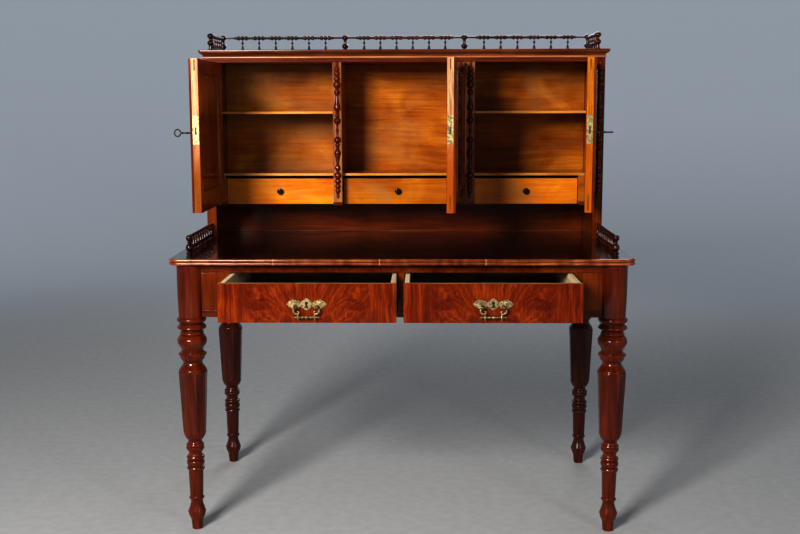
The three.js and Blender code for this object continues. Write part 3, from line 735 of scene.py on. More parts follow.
def swelling(centre, half_height, radius, neck, top_angle=None):
    """A round swelling between two necks, as (height, radius) from its lower end up."""
    limit = math.acos(neck / radius)
    end = limit if top_angle is None else math.radians(top_angle)
    steps = 6
    turns = [-limit + (limit + end) * step / steps for step in range(steps + 1)]
    return [(centre + half_height * math.sin(turn), radius * math.cos(turn)) for turn in turns]


def post_profile(height, ball_height, radius, squat=0.78):
    """A gallery post: a foot, a squat ball, a waisted neck and a squat knob on top."""
    half = radius * squat
    ball = swelling(ball_height, half, radius, 5.6)
    knob = swelling(height - half, half, radius, 5.4, 84)
    waist = (ball[-1][0] + knob[0][0]) / 2
    return profile(
        [(0, 7.6), (0.8, 8.4), (2.6, 8.4), (3.4, 7.2)], [(3.4, 6.2), (ball[0][0] - 0.5, 5.8)], ball,
        [(ball[-1][0], 5.2), (waist, 4.5), (knob[0][0], 5.0)], knob,
    )


def spindle_profile(height):
    """A gallery spindle: a flared foot, a thin neck and a small bead below the rail."""
    return profile(
        [(0, 5.7), (height * 0.12, 5.5), (height * 0.30, 4.2), (height * 0.48, 2.4)],
        [(height * 0.48, 1.6), (height * 0.58, 1.3)],
        [(height * 0.58, 2.2), (height * 0.65, 3.7), (height * 0.72, 3.4), (height * 0.77, 1.6)],
        [(height * 0.77, 1.3), (height, 1.3)],
    )


def vase_profile(height):
    """A vase-shaped spindle for the low galleries on the table top."""
    return profile(
        [(0, 3.4), (2.4, 5.0), (4.6, 3.4)],
        [(4.6, 2.8), (9.0, 3.2), (14.0, 5.3), (19.0, 5.6), (25.0, 4.0), (30.0, 2.5)],
        [(30.0, 2.6), (31.8, 4.0), (33.8, 4.0), (35.4, 2.6)],
        [(35.4, 2.4), (39.0, 3.3), (height, 2.3)],
    )


# ---------- legs ----------

TAPER_LOW, TAPER_HIGH = 283.0, 461.0  # between these heights the legs have eight flats
TAPER_BLEND = 7.0


def taper_flatness(height):
    """How far the eight flats are cut: fully along the taper, fading out at its ends."""
    inside = min(height - TAPER_LOW, TAPER_HIGH - height)
    return min(1.0, max(0.0, inside / TAPER_BLEND))


def make_legs():
    shape = turned(LEG, 48, facets=taper_flatness)
    # The rear legs take a darker copy of the turned wood: painted shade, as they stand in the desk's shadow.
    for end, tone in (("front", "turned"), ("rear", "turned_painted_shade")):
        material = wood(tone, "z", 0.0, 0.30, 0.85, 0.45, 1.0)
        for hand in HANDS:
            low, high = box_mm(f"leg_{end}_{hand}")
            middle = (low + high) / 2
            turning(shape, f"turned_leg_{end}_{hand}", f"leg_{end}_{hand}", material,
                    at(middle.x * MM, middle.y * MM, 0))


# ---------- table top and cornice ----------

TOP_CORNER, CORNICE_CORNER = 28, 6  # corner radii
EDGE_GROOVE = 7.5  # how deep the edge is cut above and below its two reeds
VENEER_INSET, VENEER_RISE = 7, 0.06  # the top's veneer lies inside the edge, a hair above it
LOWER_BEAD_INSET = 10.0


def reed(centre, radius, inset, steps=8):
    """A half-round reed on an edge, as (inset, height) from the bottom up."""
    angles = [math.radians(-84 + 168 * step / steps) for step in range(steps + 1)]
    return [(inset + radius * (1 - math.cos(angle)), centre + radius * math.sin(angle)) for angle in angles]


def make_table_top():
    low, high = box_mm("table_top")
    quarter = (high.z - low.z) / 4
    reeds = [*reed(low.z + quarter, quarter - 0.15, 0), *reed(high.z - quarter, quarter - 0.15, 0)]
    edge = moulded_slab(low, high, TOP_CORNER, [(EDGE_GROOVE, low.z), *reeds, (EDGE_GROOVE, high.z)])
    joinery(edge, "table_edge_moulding", edge_banding(), stands_for=["table_top"])
    veneer = [(VENEER_INSET, high.z - 2), (VENEER_INSET, high.z + VENEER_RISE)]
    sheet = moulded_slab(low, high, TOP_CORNER, veneer)
    joinery(sheet, "table_top_veneer", wood("top", "x", 0.7, 0.20, 1.0, 0.6, 0.0, 0.12))


def make_cornice():
    """A fascia over a cove and an ovolo, with a separate bead below them."""
    low, high = box_mm("cornice")
    foot = low.z
    bead_outline = [(13.4, foot), *reed(foot + 3.2, 3.1, LOWER_BEAD_INSET), (13.4, foot + 6.4)]
    lower_bead = moulded_slab(low, high, CORNICE_CORNER, bead_outline, flat_back=True)
    # The bead's paler wood is a painted highlight: the bright line of light along the cornice's foot.
    joinery(lower_bead, "cornice_lower_bead", wood("bead", "x", 0.6, 0.28, 1.0, 0.4, 0.4))

    cove = smooth([(12.5, foot + 6.8), (11.9, foot + 9.4), (10.2, foot + 12.0), (7.8, foot + 13.8)])
    ovolo = smooth([(6.8, foot + 14.2), (3.4, foot + 15.6), (1.3, foot + 18.4), (0.7, foot + 21.4)])
    fascia = [(0.0, foot + 22.0), (0.0, high.z - 0.9), (0.3, high.z - 0.3), (1.0, high.z)]
    section = [(13, foot + 0.1), (13, foot + 6.4), *cove, *ovolo, *fascia]
    slab = moulded_slab(low, high, CORNICE_CORNER, section, flat_back=True)
    joinery(slab, "cornice_moulding", wood("cornice", "x", 0.2, 0.28, 0.5, 0.5, 0.9), stands_for=["cornice"])


# ---------- galleries ----------

POST_RADIUS = 10.4
POST_BALL_HEIGHT = 21.0
REAR_POST_INSET = 10.5  # from the ends of the rear run
REAR_MIDDLE_POST = 193.0  # from the middle of the desk
REAR_RAIL = 48.0  # rail centre above the cornice
REAR_SPINDLES, SIDE_SPINDLES = 6, 5  # in each bay of the rear run, and in a side run
SIDE_BEADS = 14
SIDE_RAIL = (41.5, 45.5)  # rail centre above the cornice, at the front post and at the rear
# The beads about each spindle of the rear rail: distance along the rail, length and radius.
REAR_BEADS = ((-22.5, 7.0, 5.0), (-12.6, 12.6, 7.0), (0, 12.6, 7.0), (12.6, 12.6, 7.0), (22.5, 7.0, 5.0))
TABLE_POST_INSET = 10.5
TABLE_SPINDLES = 10
TABLE_RAIL_BELOW_TOP = 4.5
TABLE_LOWER_RAIL = 17.5  # above the table top

TABLE_POST = profile(
    [(0, 8.0), (1.0, 8.8), (3.0, 8.8), (4.0, 7.4)], [(4.0, 5.0), (6.0, 5.6)],
    [(6.0, 5.6), (9.0, 8.6), (16.0, 10.5), (23.0, 8.6), (26.4, 5.0)],
    [(26.4, 4.4), (29.0, 4.4)], [(29.0, 6.4), (31.0, 6.4)], [(31.0, 4.6), (35.0, 4.6)],
    [(35.0, 6.0), (38.0, 8.4), (42.5, 9.2), (47.0, 8.6), (50.4, 5.6), (52.0, 0.5)],
)


def spread(start, end, count, first, step):
    """Places along a run. The first and the step are shares of its length."""
    return [start + (end - start) * (first + step * k) for k in range(count)]


def make_rear_gallery(material):
    low, high = box_mm("gallery_rear")
    y = (low.y + high.y) / 2
    corner = high.x - REAR_POST_INSET
    foot = low.z
    rail = foot + REAR_RAIL
    posts = [-corner, -REAR_MIDDLE_POST, REAR_MIDDLE_POST, corner]
    shape = Shape()
    for x in posts:
        shape.join(turned(post_profile(high.z - foot, POST_BALL_HEIGHT, POST_RADIUS), 24), at(x, y, foot))
    shape.join(rod(2.5, -corner, corner, 12), at(0, y, rail) @ UP_TO_RIGHT)
    for start, end in zip(posts, posts[1:]):
        for x in spread(start, end, REAR_SPINDLES, 0.16, 0.136):
            shape.join(turned(spindle_profile(REAR_RAIL), 14), at(x, y, foot))
            for offset, length, radius in REAR_BEADS:
                shape.join(bead(length, radius), at(x + offset, y, rail))
    turning(shape, "rear_gallery_turnings", "gallery_rear", material)


def make_side_gallery(hand, material):
    """A run on the cornice. Its rail rises a little from the front post to the rear corner."""
    low, high = box_mm(f"gallery_side_{hand}")
    x = (low.x + high.x) / 2
    start = low.y + POST_RADIUS
    length = high.y - start
    front_rail, rear_rail = SIDE_RAIL

    shape = Shape()
    shape.join(turned(post_profile(high.z - low.z, POST_BALL_HEIGHT, POST_RADIUS), 24), at(x, start, low.z))
    rail = [(x, start, low.z + front_rail), (x, high.y, low.z + rear_rail)]
    shape.join(swept(rail, [3.4, 3.4], 14))
    for share in spread(0, 1, SIDE_SPINDLES, 1 / 5.6, 1 / 5.6):
        height = front_rail + (rear_rail - front_rail) * share
        shape.join(turned(spindle_profile(height), 14), at(x, start + length * share, low.z))
    for share in spread(0, 1, SIDE_BEADS, 1 / 14.8, 1 / 14.8):
        height = front_rail + (rear_rail - front_rail) * share
        shape.join(bead(12.0, 5.8), at(x, start + length * share, low.z + height) @ RIGHT_TO_BACK)
    turning(shape, f"side_gallery_turnings_{hand}", f"gallery_side_{hand}", material)


def make_table_gallery(hand, material):
    """A run on the table top: a post at the front, and vases between two rails, with beads between them."""
    low, high = box_mm(f"table_gallery_{hand}")
    x = (low.x + high.x) / 2
    start = low.y + TABLE_POST_INSET
    length = high.y - start
    upper = high.z - low.z - TABLE_RAIL_BELOW_TOP
    pitch = 1 / (TABLE_SPINDLES + 0.2)
    shape = turned(TABLE_POST, 24).moved(at(x, start, low.z))
    rail = [(0, 0.5), (2, 4.4), (length - 2, 4.4), (length, 3.8)]
    shape.join(turned(rail, 16), at(x, start, low.z + upper) @ UP_TO_BACK)
    shape.join(rod(2.6, 0, length, 12), at(x, start, low.z + TABLE_LOWER_RAIL) @ UP_TO_BACK)
    for y in spread(start, high.y, TABLE_SPINDLES, 0.8 * pitch, pitch):
        shape.join(turned(vase_profile(upper), 14), at(x, y, low.z))
    for y in spread(start, high.y, TABLE_SPINDLES - 1, 1.3 * pitch, pitch):
        shape.join(bead(6.4, 4.0), at(x, y, low.z + TABLE_LOWER_RAIL) @ RIGHT_TO_BACK)
    turning(shape, f"table_gallery_turnings_{hand}", f"table_gallery_{hand}", material)


def make_galleries():
    material = wood("gallery", "x", 0.5, 0.30, 1.0, 0.4, 0.8)
    make_rear_gallery(material)
    for hand in HANDS:
        make_side_gallery(hand, material)
        make_table_gallery(hand, material)


HALF_COLUMN_GIRTH = 1.13


def make_half_columns():
    upper = [[(height, HALF_COLUMN_GIRTH * radius) for height, radius in stroke]
             for stroke in HALF_COLUMN_UP]
    lower = [[(-height, radius) for height, radius in reversed(stroke)] for stroke in reversed(upper)]
    shape = turned(profile(*lower, *upper), 16, math.pi, math.pi)
    material = wood("turned", "z", 0.9, 0.26, 1.0, 0.4, 0.8)
    for name in ("outer_left", "inner_left", "inner_right", "outer_right"):
        low, high = box_mm(f"half_column_{name}")
        middle = (low + high) / 2
        turning(shape, f"split_turning_{name}", f"half_column_{name}", material,
                at(middle.x * MM, high.y * MM, middle.z * MM))


# ---------- doors ----------

DOOR_THICKNESS = 26.0
OUTER_LAYER = 6.6
INNER_VENEER = 1.2
STILE = 44.0
TOP_RAIL = 36.0
BOTTOM_RAIL = 56.0
RAIL_GAP = 0.12  # between a rail's end and a stile
DOOR_CLEARANCE = 3.0  # narrower than the opening by this
PANEL_FRONT, PANEL_BACK = 5.0, 19.0
PANEL_LINING = 0.4
LOCK_PLATE = (1086.0, 1165.0)  # heights above the floor
LOCK_PLATE_HALF_WIDTH = 8.4
LOCK_PLATE_DEPTH = 15.5  # its middle, behind the door's outer face
PLATE_SCREW = 31.0  # above and below the plate's middle
KEY_FROM_EDGE, KEY_HEIGHT = 16.0, 1118.0
TENONS = ((4, 33), (6, 50))  # from the door's top down, and from its foot up
TENON_FRONT, TENON_BACK = 14.2, 17.8
DOOR_SEEDS = {"left": 0.1, "middle": 0.6, "right": 1.3}
# Panel mouldings, as (inset, depth) round their outlines.
OUTER_MOULDING = [(0, PANEL_FRONT), (9.5, PANEL_FRONT), (9.5, 3.6), (7.6, 1.2), (5.0, 0.2), (3.6, -1.6),
                  (1.6, -2.6), (-1.5, -2.2), (-2.2, 0.05), (0, 0.05)]
INNER_MOULDING = [(0, PANEL_BACK + PANEL_LINING), (6.0, PANEL_BACK + PANEL_LINING), (5.6, 20.6), (4.4, 22.2),
                  (2.6, 23.2), (1.2, 24.6), (0, 25.2)]
HINGE_LEAF = ((1.5, 3.5), (34, 4.5), (38, 8), (38, 15), (34, 18), (1.5, 18))
KEY_SHANK = profile(
    [(-12, 2.2), (9, 2.2)], [(9, 2.9), (10.4, 3.5), (12, 2.9)], [(12, 2.3), (24, 2.0)],
    [(24, 2.6), (25.4, 3.3), (27, 2.6)], [(27, 2.1), (31.5, 1.9)],
)
KEY_BOW = 38.7  # the bow's middle, in front of the door


def joint_named(name):
    return next(joint for joint in frame["joints"] if joint["name"] == name)


def frame_boards(door, y0, y1):
    """Two stiles, and two rails between them."""
    z0, z1 = door.heights
    edge, stile, gap = door.edge, door.reach * STILE, door.reach * RAIL_GAP
    inner = (stile + gap, edge - stile - gap)
    shape = board((0, y0, z0), (stile, y1, z1))
    shape.join(board((edge - stile, y0, z0), (edge, y1, z1)))
    shape.join(board((inner[0], y0, z1 - TOP_RAIL), (inner[1], y1, z1)))
    return shape.join(board((inner[0], y0, z0), (inner[1], y1, z0 + BOTTOM_RAIL)))


class Door:
    """A door drawn shut, with its hinge on the Z axis and its outer face at Y = 0."""

    def __init__(self, name, left_bound, right_bound):
        self.name = name
        self.width = right_bound - left_bound - DOOR_CLEARANCE
        hinge = joint_named(f"door_{name}_hinge")
        self.hinge = hinge["pos_m"]
        self.reach = -round(hinge["axis"][2])
        self.edge = self.reach * self.width
        self.key_x = self.reach * (self.width - KEY_FROM_EDGE)
        opened = -math.radians(hinge["range_deg"][0])
        self.place = at(self.hinge[0], self.hinge[1], 0) @ Matrix.Rotation(-self.reach * opened, 4, "Z")
        low, high = box_mm(f"door_frame_{name}")
        self.heights = (low.z, high.z)

    def fit(self, shape, name, material, slot="mahogany", stands_for=(), bevel=0.0):
        """Makes a piece of the door."""
        body = f"door_{self.name}"
        piece(shape, f"{name}_{self.name}", material, body, stands_for, self.place, bevel)


def make_door(door):
    name, reach = door.name, door.reach
    z0, z1 = door.heights
    seed = DOOR_SEEDS[name]
    inner_wood = wood("inner", "z", seed, 0.32, 0.7, 0.4)
    outer_wood = wood("mahogany", "z", seed, 0.22, 1.0, 0.5)
    core_back = DOOR_THICKNESS - INNER_VENEER
    door.fit(frame_boards(door, OUTER_LAYER, core_back), "door_core", door_core_wood_with_painted_light(name, z0 * MM, z1 * MM),
             "honey_wood", [f"door_frame_{name}"], 0.3)
    door.fit(frame_boards(door, 0, OUTER_LAYER), "door_outer_frame", outer_wood, bevel=1.2)
    door.fit(frame_boards(door, core_back, DOOR_THICKNESS), "door_inner_frame", inner_wood, bevel=0.35)

    x0, x1 = sorted((reach * STILE, reach * (door.width - STILE)))
    p0, p1 = z0 + BOTTOM_RAIL, z1 - TOP_RAIL
    panel = board((x0 + 0.4, PANEL_FRONT, p0 + 0.4), (x1 - 0.4, PANEL_BACK, p1 - 0.4))
    door.fit(panel, "door_veneered_panel", wood("flame", "z", seed + 0.4, 0.24, 1.0, 0.7), "flame_veneer",
             [f"door_panel_{name}"], 0.6)
    lining = board((x0 + 0.6, PANEL_BACK - 1, p0 + 0.6), (x1 - 0.6, PANEL_BACK + PANEL_LINING, p1 - 0.6))
    door.fit(lining, "door_panel_back", inner_wood, bevel=0.3)
    door.fit(picture_frame(x0, x1, p0, p1, OUTER_MOULDING), "door_outer_moulding",
             wood("edge", "z", seed, 0.26, 0.9, 0.4, 0.8))
    door.fit(picture_frame(x0, x1, p0, p1, INNER_MOULDING), "door_inner_moulding",
             wood("edge", "z", seed + 0.2, 0.3, 0.8, 0.4))

    ends = Shape()
    (top_near, top_far), (foot_near, foot_far) = TENONS
    inside, outside = door.edge - reach, door.edge + reach * 0.12
    for bottom, top in ((z1 - top_far, z1 - top_near), (z0 + foot_near, z0 + foot_far)):
        ends.join(board((inside, TENON_FRONT, bottom), (outside, TENON_BACK, top)))
    door.fit(ends, "door_tenon_ends", wood("end", "x", seed, 0.6, 0.1, 0.4), bevel=0.1)


def make_lock(door):
    """A brass plate let into the free edge, with its bolt and slotted screws, and an escutcheon outside."""
    plate_z0, plate_z1 = LOCK_PLATE
    half = (plate_z1 - plate_z0) / 2
    facing = Matrix.Rotation(door.reach * math.pi / 2, 4, "Z")  # turns -Y towards the free edge
    move = at(door.edge, LOCK_PLATE_DEPTH, plate_z0 + half) @ facing
    wide = LOCK_PLATE_HALF_WIDTH
    bolt_hole = [(-2.6, -12), (2.6, -12), (2.6, 8), (-2.6, 8)]
    plate = cut_plate([(-wide, -half), (wide, -half), (wide, half), (-wide, half)], [bolt_hole], -0.45, 0.4)
    bolt = board((-2.3, -0.3, -11.6), (2.3, 0.4, 7.6))
    for z in (-PLATE_SCREW, PLATE_SCREW):
        plate.join(screw_head(3.0), at(0, -0.4, z))
        slot = board((-2.6, -1.34, z - 0.35), (2.6, -0.9, z + 0.35))
        bolt.join(slot)
    brass = LOCK_BRASS if door.name == "left" else TARNISHED_BRASS
    door.fit(plate.moved(move), "lock_plate", brass, "brass", bevel=0.15)
    door.fit(bolt.moved(move), "lock_bolt", STEEL, "steel")

    outside = at(door.key_x, 0, KEY_HEIGHT)
    escutcheon = cut_plate(ellipse(6.2, 9.4, 28), [ellipse(3.1, 3.1, 16)], -1.1, 0.0)
    door.fit(escutcheon.moved(outside), "door_escutcheon", BRASS, "brass", bevel=0.35)
    # A dark disc behind the escutcheon's hole is painted shade, standing for the keyhole's shadow.
    shade = turned([(0, 3.4), (0.16, 3.3)], 16)
    door.fit(shade.moved(outside @ UP_TO_FRONT), "door_keyhole_shade", KEYHOLE_SHADE, "steel")


def make_hinges(door):
    """Knife hinges: a leaf let into each end of the door and a knuckle fixed to the cabinet."""
    z0, z1 = door.heights
    leaves = Shape()
    for bottom, top in ((z0 - 0.35, z0 + 0.3), (z1 - 0.3, z1 + 0.35)):
        leaves.join(tube([[(door.reach * x, y, z) for x, y in HINGE_LEAF] for z in (bottom, top)]))
    door.fit(leaves, "hinge_leaves", GREY_STEEL, "steel", bevel=0.1)
    knuckles = Shape()
    x, y = door.hinge[0] / MM + door.reach * 3.0, door.hinge[1] / MM - 0.5
    for z, height in ((z0 - 3.0, 2.5), (z1 + 0.5, 1.6)):
        knuckles.join(turned([(0, 5.0), (0.3, 5.6), (height - 0.3, 5.6), (height, 5.0)], 24), at(x, y, z))
    piece(knuckles, f"hinge_knuckles_{door.name}", GREY_STEEL, "desk")


def make_key(door):
    """A key with a collared shank and an oval ring bow, standing out of the door's face."""
    ring = [(0, -KEY_BOW - x, y) for x, y in ellipse(8.4, 9.6, 36)]
    shape = turned(KEY_SHANK, 16).moved(UP_TO_FRONT).join(swept_loop(ring, 1.9, 12))
    turn = UP_TO_RIGHT if door.name == "right" else NO_MOVE  # the right key's bow lies flat
    move = door.place @ at(door.key_x * MM, 0, KEY_HEIGHT * MM) @ turn
    name = f"key_{door.name}"
    piece(shape, f"door_{name}", STEEL, name, [name], move)


def make_doors():
    side_left, side_right = box_mm("cabinet_side_left"), box_mm("cabinet_side_right")
    part_left, part_right = box_mm("partition_left"), box_mm("partition_right")
    bounds = {
        "left": (side_left[1].x, part_left[0].x),
        "middle": (part_left[1].x, part_right[0].x),
        "right": (part_right[1].x, side_right[0].x),
    }
    for name, (left, right) in bounds.items():
        door = Door(name, left, right)
        make_door(door)
        make_lock(door)
        make_hinges(door)
        if name != "middle":
            make_key(door)


# ---------- long drawers and their handles ----------

FRONT_VENEER = 2.4
TAILS = 4  # dovetails at each end of a front
TAIL_WIDE, TAIL_NARROW, TAIL_LENGTH = 0.36, 0.25, 13  # half widths as shares of their pitch
LOCK_HALF_WIDTH, LOCK_HEIGHT, LOCK_DEPTH = 30, 42, 7
KEYHOLE_SCALE, KEYHOLE_SHADE_SCALE = 1.9, 2.0
# The right half of a backplate's outline, drawn 55 mm wide, and of its raised boss.
PLATE_WING = [
    (9, 8.6), (14, 5.4), (18, 6.2), (21.5, 9.8), (25.5, 8.4), (29, 11.6), (33.5, 10.6), (36.5, 13.4),
    (41, 11.4), (43.5, 8.6), (48.5, 7.4), (51, 3.2), (55, 0.4), (51, -3.0), (48.0, -7.0), (43, -8.2),
    (40, -11.6), (35.5, -12.4), (32.5, -14.6), (27.5, -14.0), (24.5, -12.6), (21.0, -10.2), (17, -6.0),
    (13.5, -5.6), (9, -8.6),
]
WING_WIDTH = 55
BOSS = [(6.4, 12.2), (12.0, 8.0), (15.4, 0), (12.0, -8.0), (6.4, -12.2)]
# The veins of the leaves: each from its root to its tip.
VEINS = (((19, 0), (50, 0.4)), ((22, 3), (40, 9.6)), ((22, -4), (39, -9.8)),
         ((27, 2.4), (46, 5.2)), ((27, -3.2), (46, -5.0)), ((20, 4), (29, 9.4)))
PULL_POST = profile(
    [(1.6, 5.6), (2.6, 6.2), (3.6, 5.4)], [(3.6, 3.4), (9.0, 3.0)],
    [(9.0, 3.2), (10.6, 4.8), (14.0, 5.2), (16.0, 3.8), (16.7, 0.5)],
)
POST_FROM_MIDDLE = 28
# The bail's right arm, as (across, height) from its pivot, and the curl that springs from the arm.
BAIL_ARM = [(28.0, 1.0), (31.0, -1.2), (33.4, -6.0), (32.6, -11.0), (28.6, -14.6), (24.0, -15.6),
            (21.8, -18.2)]
BAIL_CURL = [(24.0, -15.6), (20.4, -14.0), (19.2, -10.6), (21.4, -8.6), (23.2, -10.4)]
BAR_HALF_LENGTH, BAR_RADIUS, BAR_ABOVE_FOOT = 21.4, 1.7, 3.0
BAR_BEADS = ((0, 9.0, 4.3), (6.2, 3.0, 3.1), (10.8, 5.6, 3.3), (15.4, 2.4, 2.6))  # place, length, radius
FINIAL = profile(
    [(-8.0, 0.4), (-6.6, 1.9), (-5.0, 1.4)], [(-5.0, 1.6), (-3.4, 3.0), (0, 3.6), (3.4, 3.0), (5.0, 1.6)],
    [(5.0, 1.4), (7.0, 2.2), (9.0, 1.3)],
)
BAR_END = profile([(0, 1.6), (8.6, 1.5)], [(8.6, 2.0), (10.4, 2.9), (12.2, 2.0)], [(12.2, 1.3), (13.4, 0.4)])


def mirrored(half, point):
    """A symmetrical outline from its right half, with a point at the top and at the bottom."""
    return [(0, point), *half, (0, -point), *[(-x, z) for x, z in reversed(half)]]


def make_drawer_front(hand):
    low, high = box_mm(f"drawer_front_{hand}")
    body = f"drawer_{hand}"
    centre = (low + high) / 2
    core = board((low.x, low.y + FRONT_VENEER, low.z), high)
    piece(core, f"drawer_front_core_{hand}", wood("core_edge", "x", 0.3, 0.55, 0.15, 0.4), body,
          [f"drawer_front_{hand}"], bevel=0.5)
    pull_low, pull_high = box_mm(f"pull_plate_{hand}")
    flame = flame_veneer(f"flame_veneer_{hand}", centre.x * MM, (pull_low.z + pull_high.z) / 2 * MM)
    face = board(low, (high.x, low.y + FRONT_VENEER, high.z))
    piece(face, f"drawer_face_{hand}", flame, body, bevel=0.7)

    tails = Shape()
    pitch = (high.z - low.z) / TAILS
    root, tip = high.y, high.y - TAIL_LENGTH
    wide, narrow = pitch * TAIL_WIDE, pitch * TAIL_NARROW
    for end, outward in ((low.x, -1), (high.x, 1)):
        for k in range(TAILS):
            z = low.z + pitch * (k + 0.5)
            outline = [(root, z - narrow), (root, z + narrow), (tip, z + wide), (tip, z - wide)]
            sides = (end - outward * 0.6, end + outward * 0.12)
            tails.join(tube([[(x, y, height) for y, height in outline] for x in sides]))
    piece(tails, f"drawer_dovetails_{hand}", wood("pale", "x", 0.2, 0.6, 0.0, 0.4), body)

    left, right = centre.x - LOCK_HALF_WIDTH, centre.x + LOCK_HALF_WIDTH
    back = high.y + LOCK_DEPTH
    case = board((left, high.y, high.z - LOCK_HEIGHT), (right, back, high.z - 4))
    case.join(board((left, low.y + LOCK_DEPTH, high.z - 0.5), (right, back, high.z + 0.4)))
    piece(case, f"drawer_lock_{hand}", BRASS, body, bevel=0.4)


def make_pull(hand):
    """A leafy brass backplate with a raised boss round its keyhole, and two posts for the bail."""
    low, high = box_mm(f"pull_plate_{hand}")
    body = f"drawer_{hand}"
    centre_z = (low.z + high.z) / 2
    move = at((low.x + high.x) / 2, box_mm(f"drawer_front_{hand}")[0].y, centre_z)
    stretch = (high.x - low.x) / 2 / WING_WIDTH

    wing = [(x * stretch, z) for x, z in PLATE_WING]
    plate = cut_plate(mirrored(wing, 12), [], -2.0, -0.1)
    piece(plate.moved(move), f"pull_leaf_plate_{hand}", BRASS, body, [f"pull_plate_{hand}"],
          bevel=0.55)

    boss = mirrored(BOSS, 16.8)
    opening = keyhole(KEYHOLE_SCALE)
    layers = cut_plate(boss, [opening], -3.7, -1.5)
    layers.join(cut_plate([(x * 0.78, z * 0.78) for x, z in boss], [opening], -4.4, -3.2))
    piece(layers.moved(move), f"pull_boss_{hand}", BRASS, body, bevel=0.45)
    # A dark keyhole-shaped sheet behind the boss is painted shade, standing for the hole's shadow.
    hole_shade = cut_plate(keyhole(KEYHOLE_SHADE_SCALE), [], -2.7, -1.6)
    piece(hole_shade.moved(move), f"pull_keyhole_shade_{hand}", KEYHOLE_SHADE, body)

    relief, posts = Shape(), Shape()
    post_z = joint_named(f"bail_{hand}_swing")["pos_m"][2] / MM - centre_z
    for mirror in (-1, 1):
        for (root_x, root_z), (tip_x, tip_z) in VEINS:
            crown = ((root_x + tip_x) / 2, (root_z + tip_z) / 2 + 0.8)
            points = ((root_x, -2.0, root_z), (crown[0], -2.9, crown[1]), (tip_x, -2.0, tip_z))
            path = smooth([(mirror * x * stretch, y, z) for x, y, z in points])
            radii = [0.35 + 0.95 * math.sin(math.pi * (k + 0.5) / len(path)) for k in range(len(path))]
            relief.join(swept(path, radii, 8))
        posts.join(turned(PULL_POST, 20), at(mirror * POST_FROM_MIDDLE, 0, post_z) @ UP_TO_FRONT)
    piece(relief.moved(move), f"pull_relief_{hand}", BRASS, body)
    piece(posts.moved(move), f"pull_posts_{hand}", DARK_BRASS, body)


def make_bail(hand):
    """The swinging handle: two scrolled arms, upright finials and a beaded bar."""
    pivot = Vector(joint_named(f"bail_{hand}_swing")["pos_m"]) / MM
    bar_z = box_mm(f"pull_bail_{hand}")[0].z + BAR_ABOVE_FOOT - pivot.z
    shape = Shape()
    for mirror in (-1, 1):
        arm = smooth([(mirror * x, 0, z) for x, z in [*BAIL_ARM, (BAR_HALF_LENGTH, bar_z)]])
        last = len(arm) - 1
        shape.join(swept(arm, [2.0 + 0.7 * math.sin(math.pi * k / last) for k in range(len(arm))], 12))
        curl = smooth([(mirror * x, 0, z) for x, z in BAIL_CURL])
        shape.join(swept(curl, [1.9 - 0.8 * k / len(curl) for k in range(len(curl))]))
        end = at(mirror * BAR_HALF_LENGTH, 0, bar_z)
        shape.join(turned(FINIAL, 16), end)
        shape.join(turned(BAR_END, 14), end @ Matrix.Rotation(mirror * math.pi / 2, 4, "Y"))
        for x, length, radius in BAR_BEADS:
            if x or mirror == 1:
                shape.join(bead(length, radius), at(mirror * x, 0, bar_z))
    shape.join(rod(BAR_RADIUS, -BAR_HALF_LENGTH, BAR_HALF_LENGTH, 14), at(0, 0, bar_z) @ UP_TO_RIGHT)
    piece(shape.moved(at(*pivot)), f"bail_handle_{hand}", BRASS, f"bail_{hand}",
          [f"pull_bail_{hand}"])


def make_drawers():
    for hand in HANDS:
        make_drawer_front(hand)
        make_pull(hand)
        make_bail(hand)


# ---------- small drawers, facings and edgings ----------

SHELF_EDGE_HEIGHT = 7.5
BACK_BOARD_THICKNESS = 1.6
BACK_BEAD_DEPTH, BACK_BEAD_HEIGHT = 3.0, 3.2
BACK_PLANKS = 6


def make_small_knobs():
    shape = turned(KNOB, 28).moved(UP_TO_FRONT)
    for name in ("left", "middle", "right"):
        low, high = box_mm(f"small_knob_{name}")
        middle = (low + high) / 2
        piece(shape, f"turned_knob_{name}", EBONISED, f"small_drawer_{name}_body",
              [f"small_knob_{name}"], at(middle.x * MM, high.y * MM, middle.z * MM))


def make_back_shade_board():
    """A dark mahogany board behind the writing surface, under the small drawers, whose darkness is painted
    shade for the space under the cabinet, and the thin strip at its foot.
    """
    low, high = box_mm("cabinet_back")
    top = box_mm("cabinet_bottom")[0].z - 0.3
    front = low.y - BACK_BOARD_THICKNESS
    half = -low.x
    face = board((-half + 0.5, front, low.z), (half - 0.5, low.y, top))
    joinery(face, "writing_back_shade_board", wood("mahogany", "x", 1.7, 0.3, 0.9, 0.6), 0.3)
    strip = board((1 - half, front - BACK_BEAD_DEPTH, low.z), (half - 1, front, low.z + BACK_BEAD_HEIGHT))
    joinery(strip, "writing_back_bead", wood("cornice", "x", 1.1, 0.3, 0.8, 0.4), 1.0)


def make_pilaster_facings():
    """Thin mahogany facings on the front edges of the two partitions."""
    for hand in HANDS:
        low, high = box_mm(f"partition_{hand}")
        face = board((low.x, low.y - 0.25, low.z), (high.x, low.y + 0.4, high.z))
        joinery(face, f"pilaster_facing_{hand}", wood("facing", "z", 0.8, 0.30, 0.9, 0.5), 0.1)


def make_back_planks():
    """The outside of the cabinet's back: upright planks of stained secondary wood."""
    low, high = box_mm("cabinet_back")
    width = (high.x - low.x) / BACK_PLANKS
    planks = Shape()
    for k in range(BACK_PLANKS):
        left, right = low.x + width * k + 0.4, low.x + width * (k + 1) - 0.4
        planks.join(board((left, high.y - 0.3, low.z + 0.4), (right, high.y + 0.9, high.z - 0.4)))
    joinery(planks, "cabinet_back_planks", wood("back", "z", 2.2, 0.55, 0.15, 0.4), 0.4)


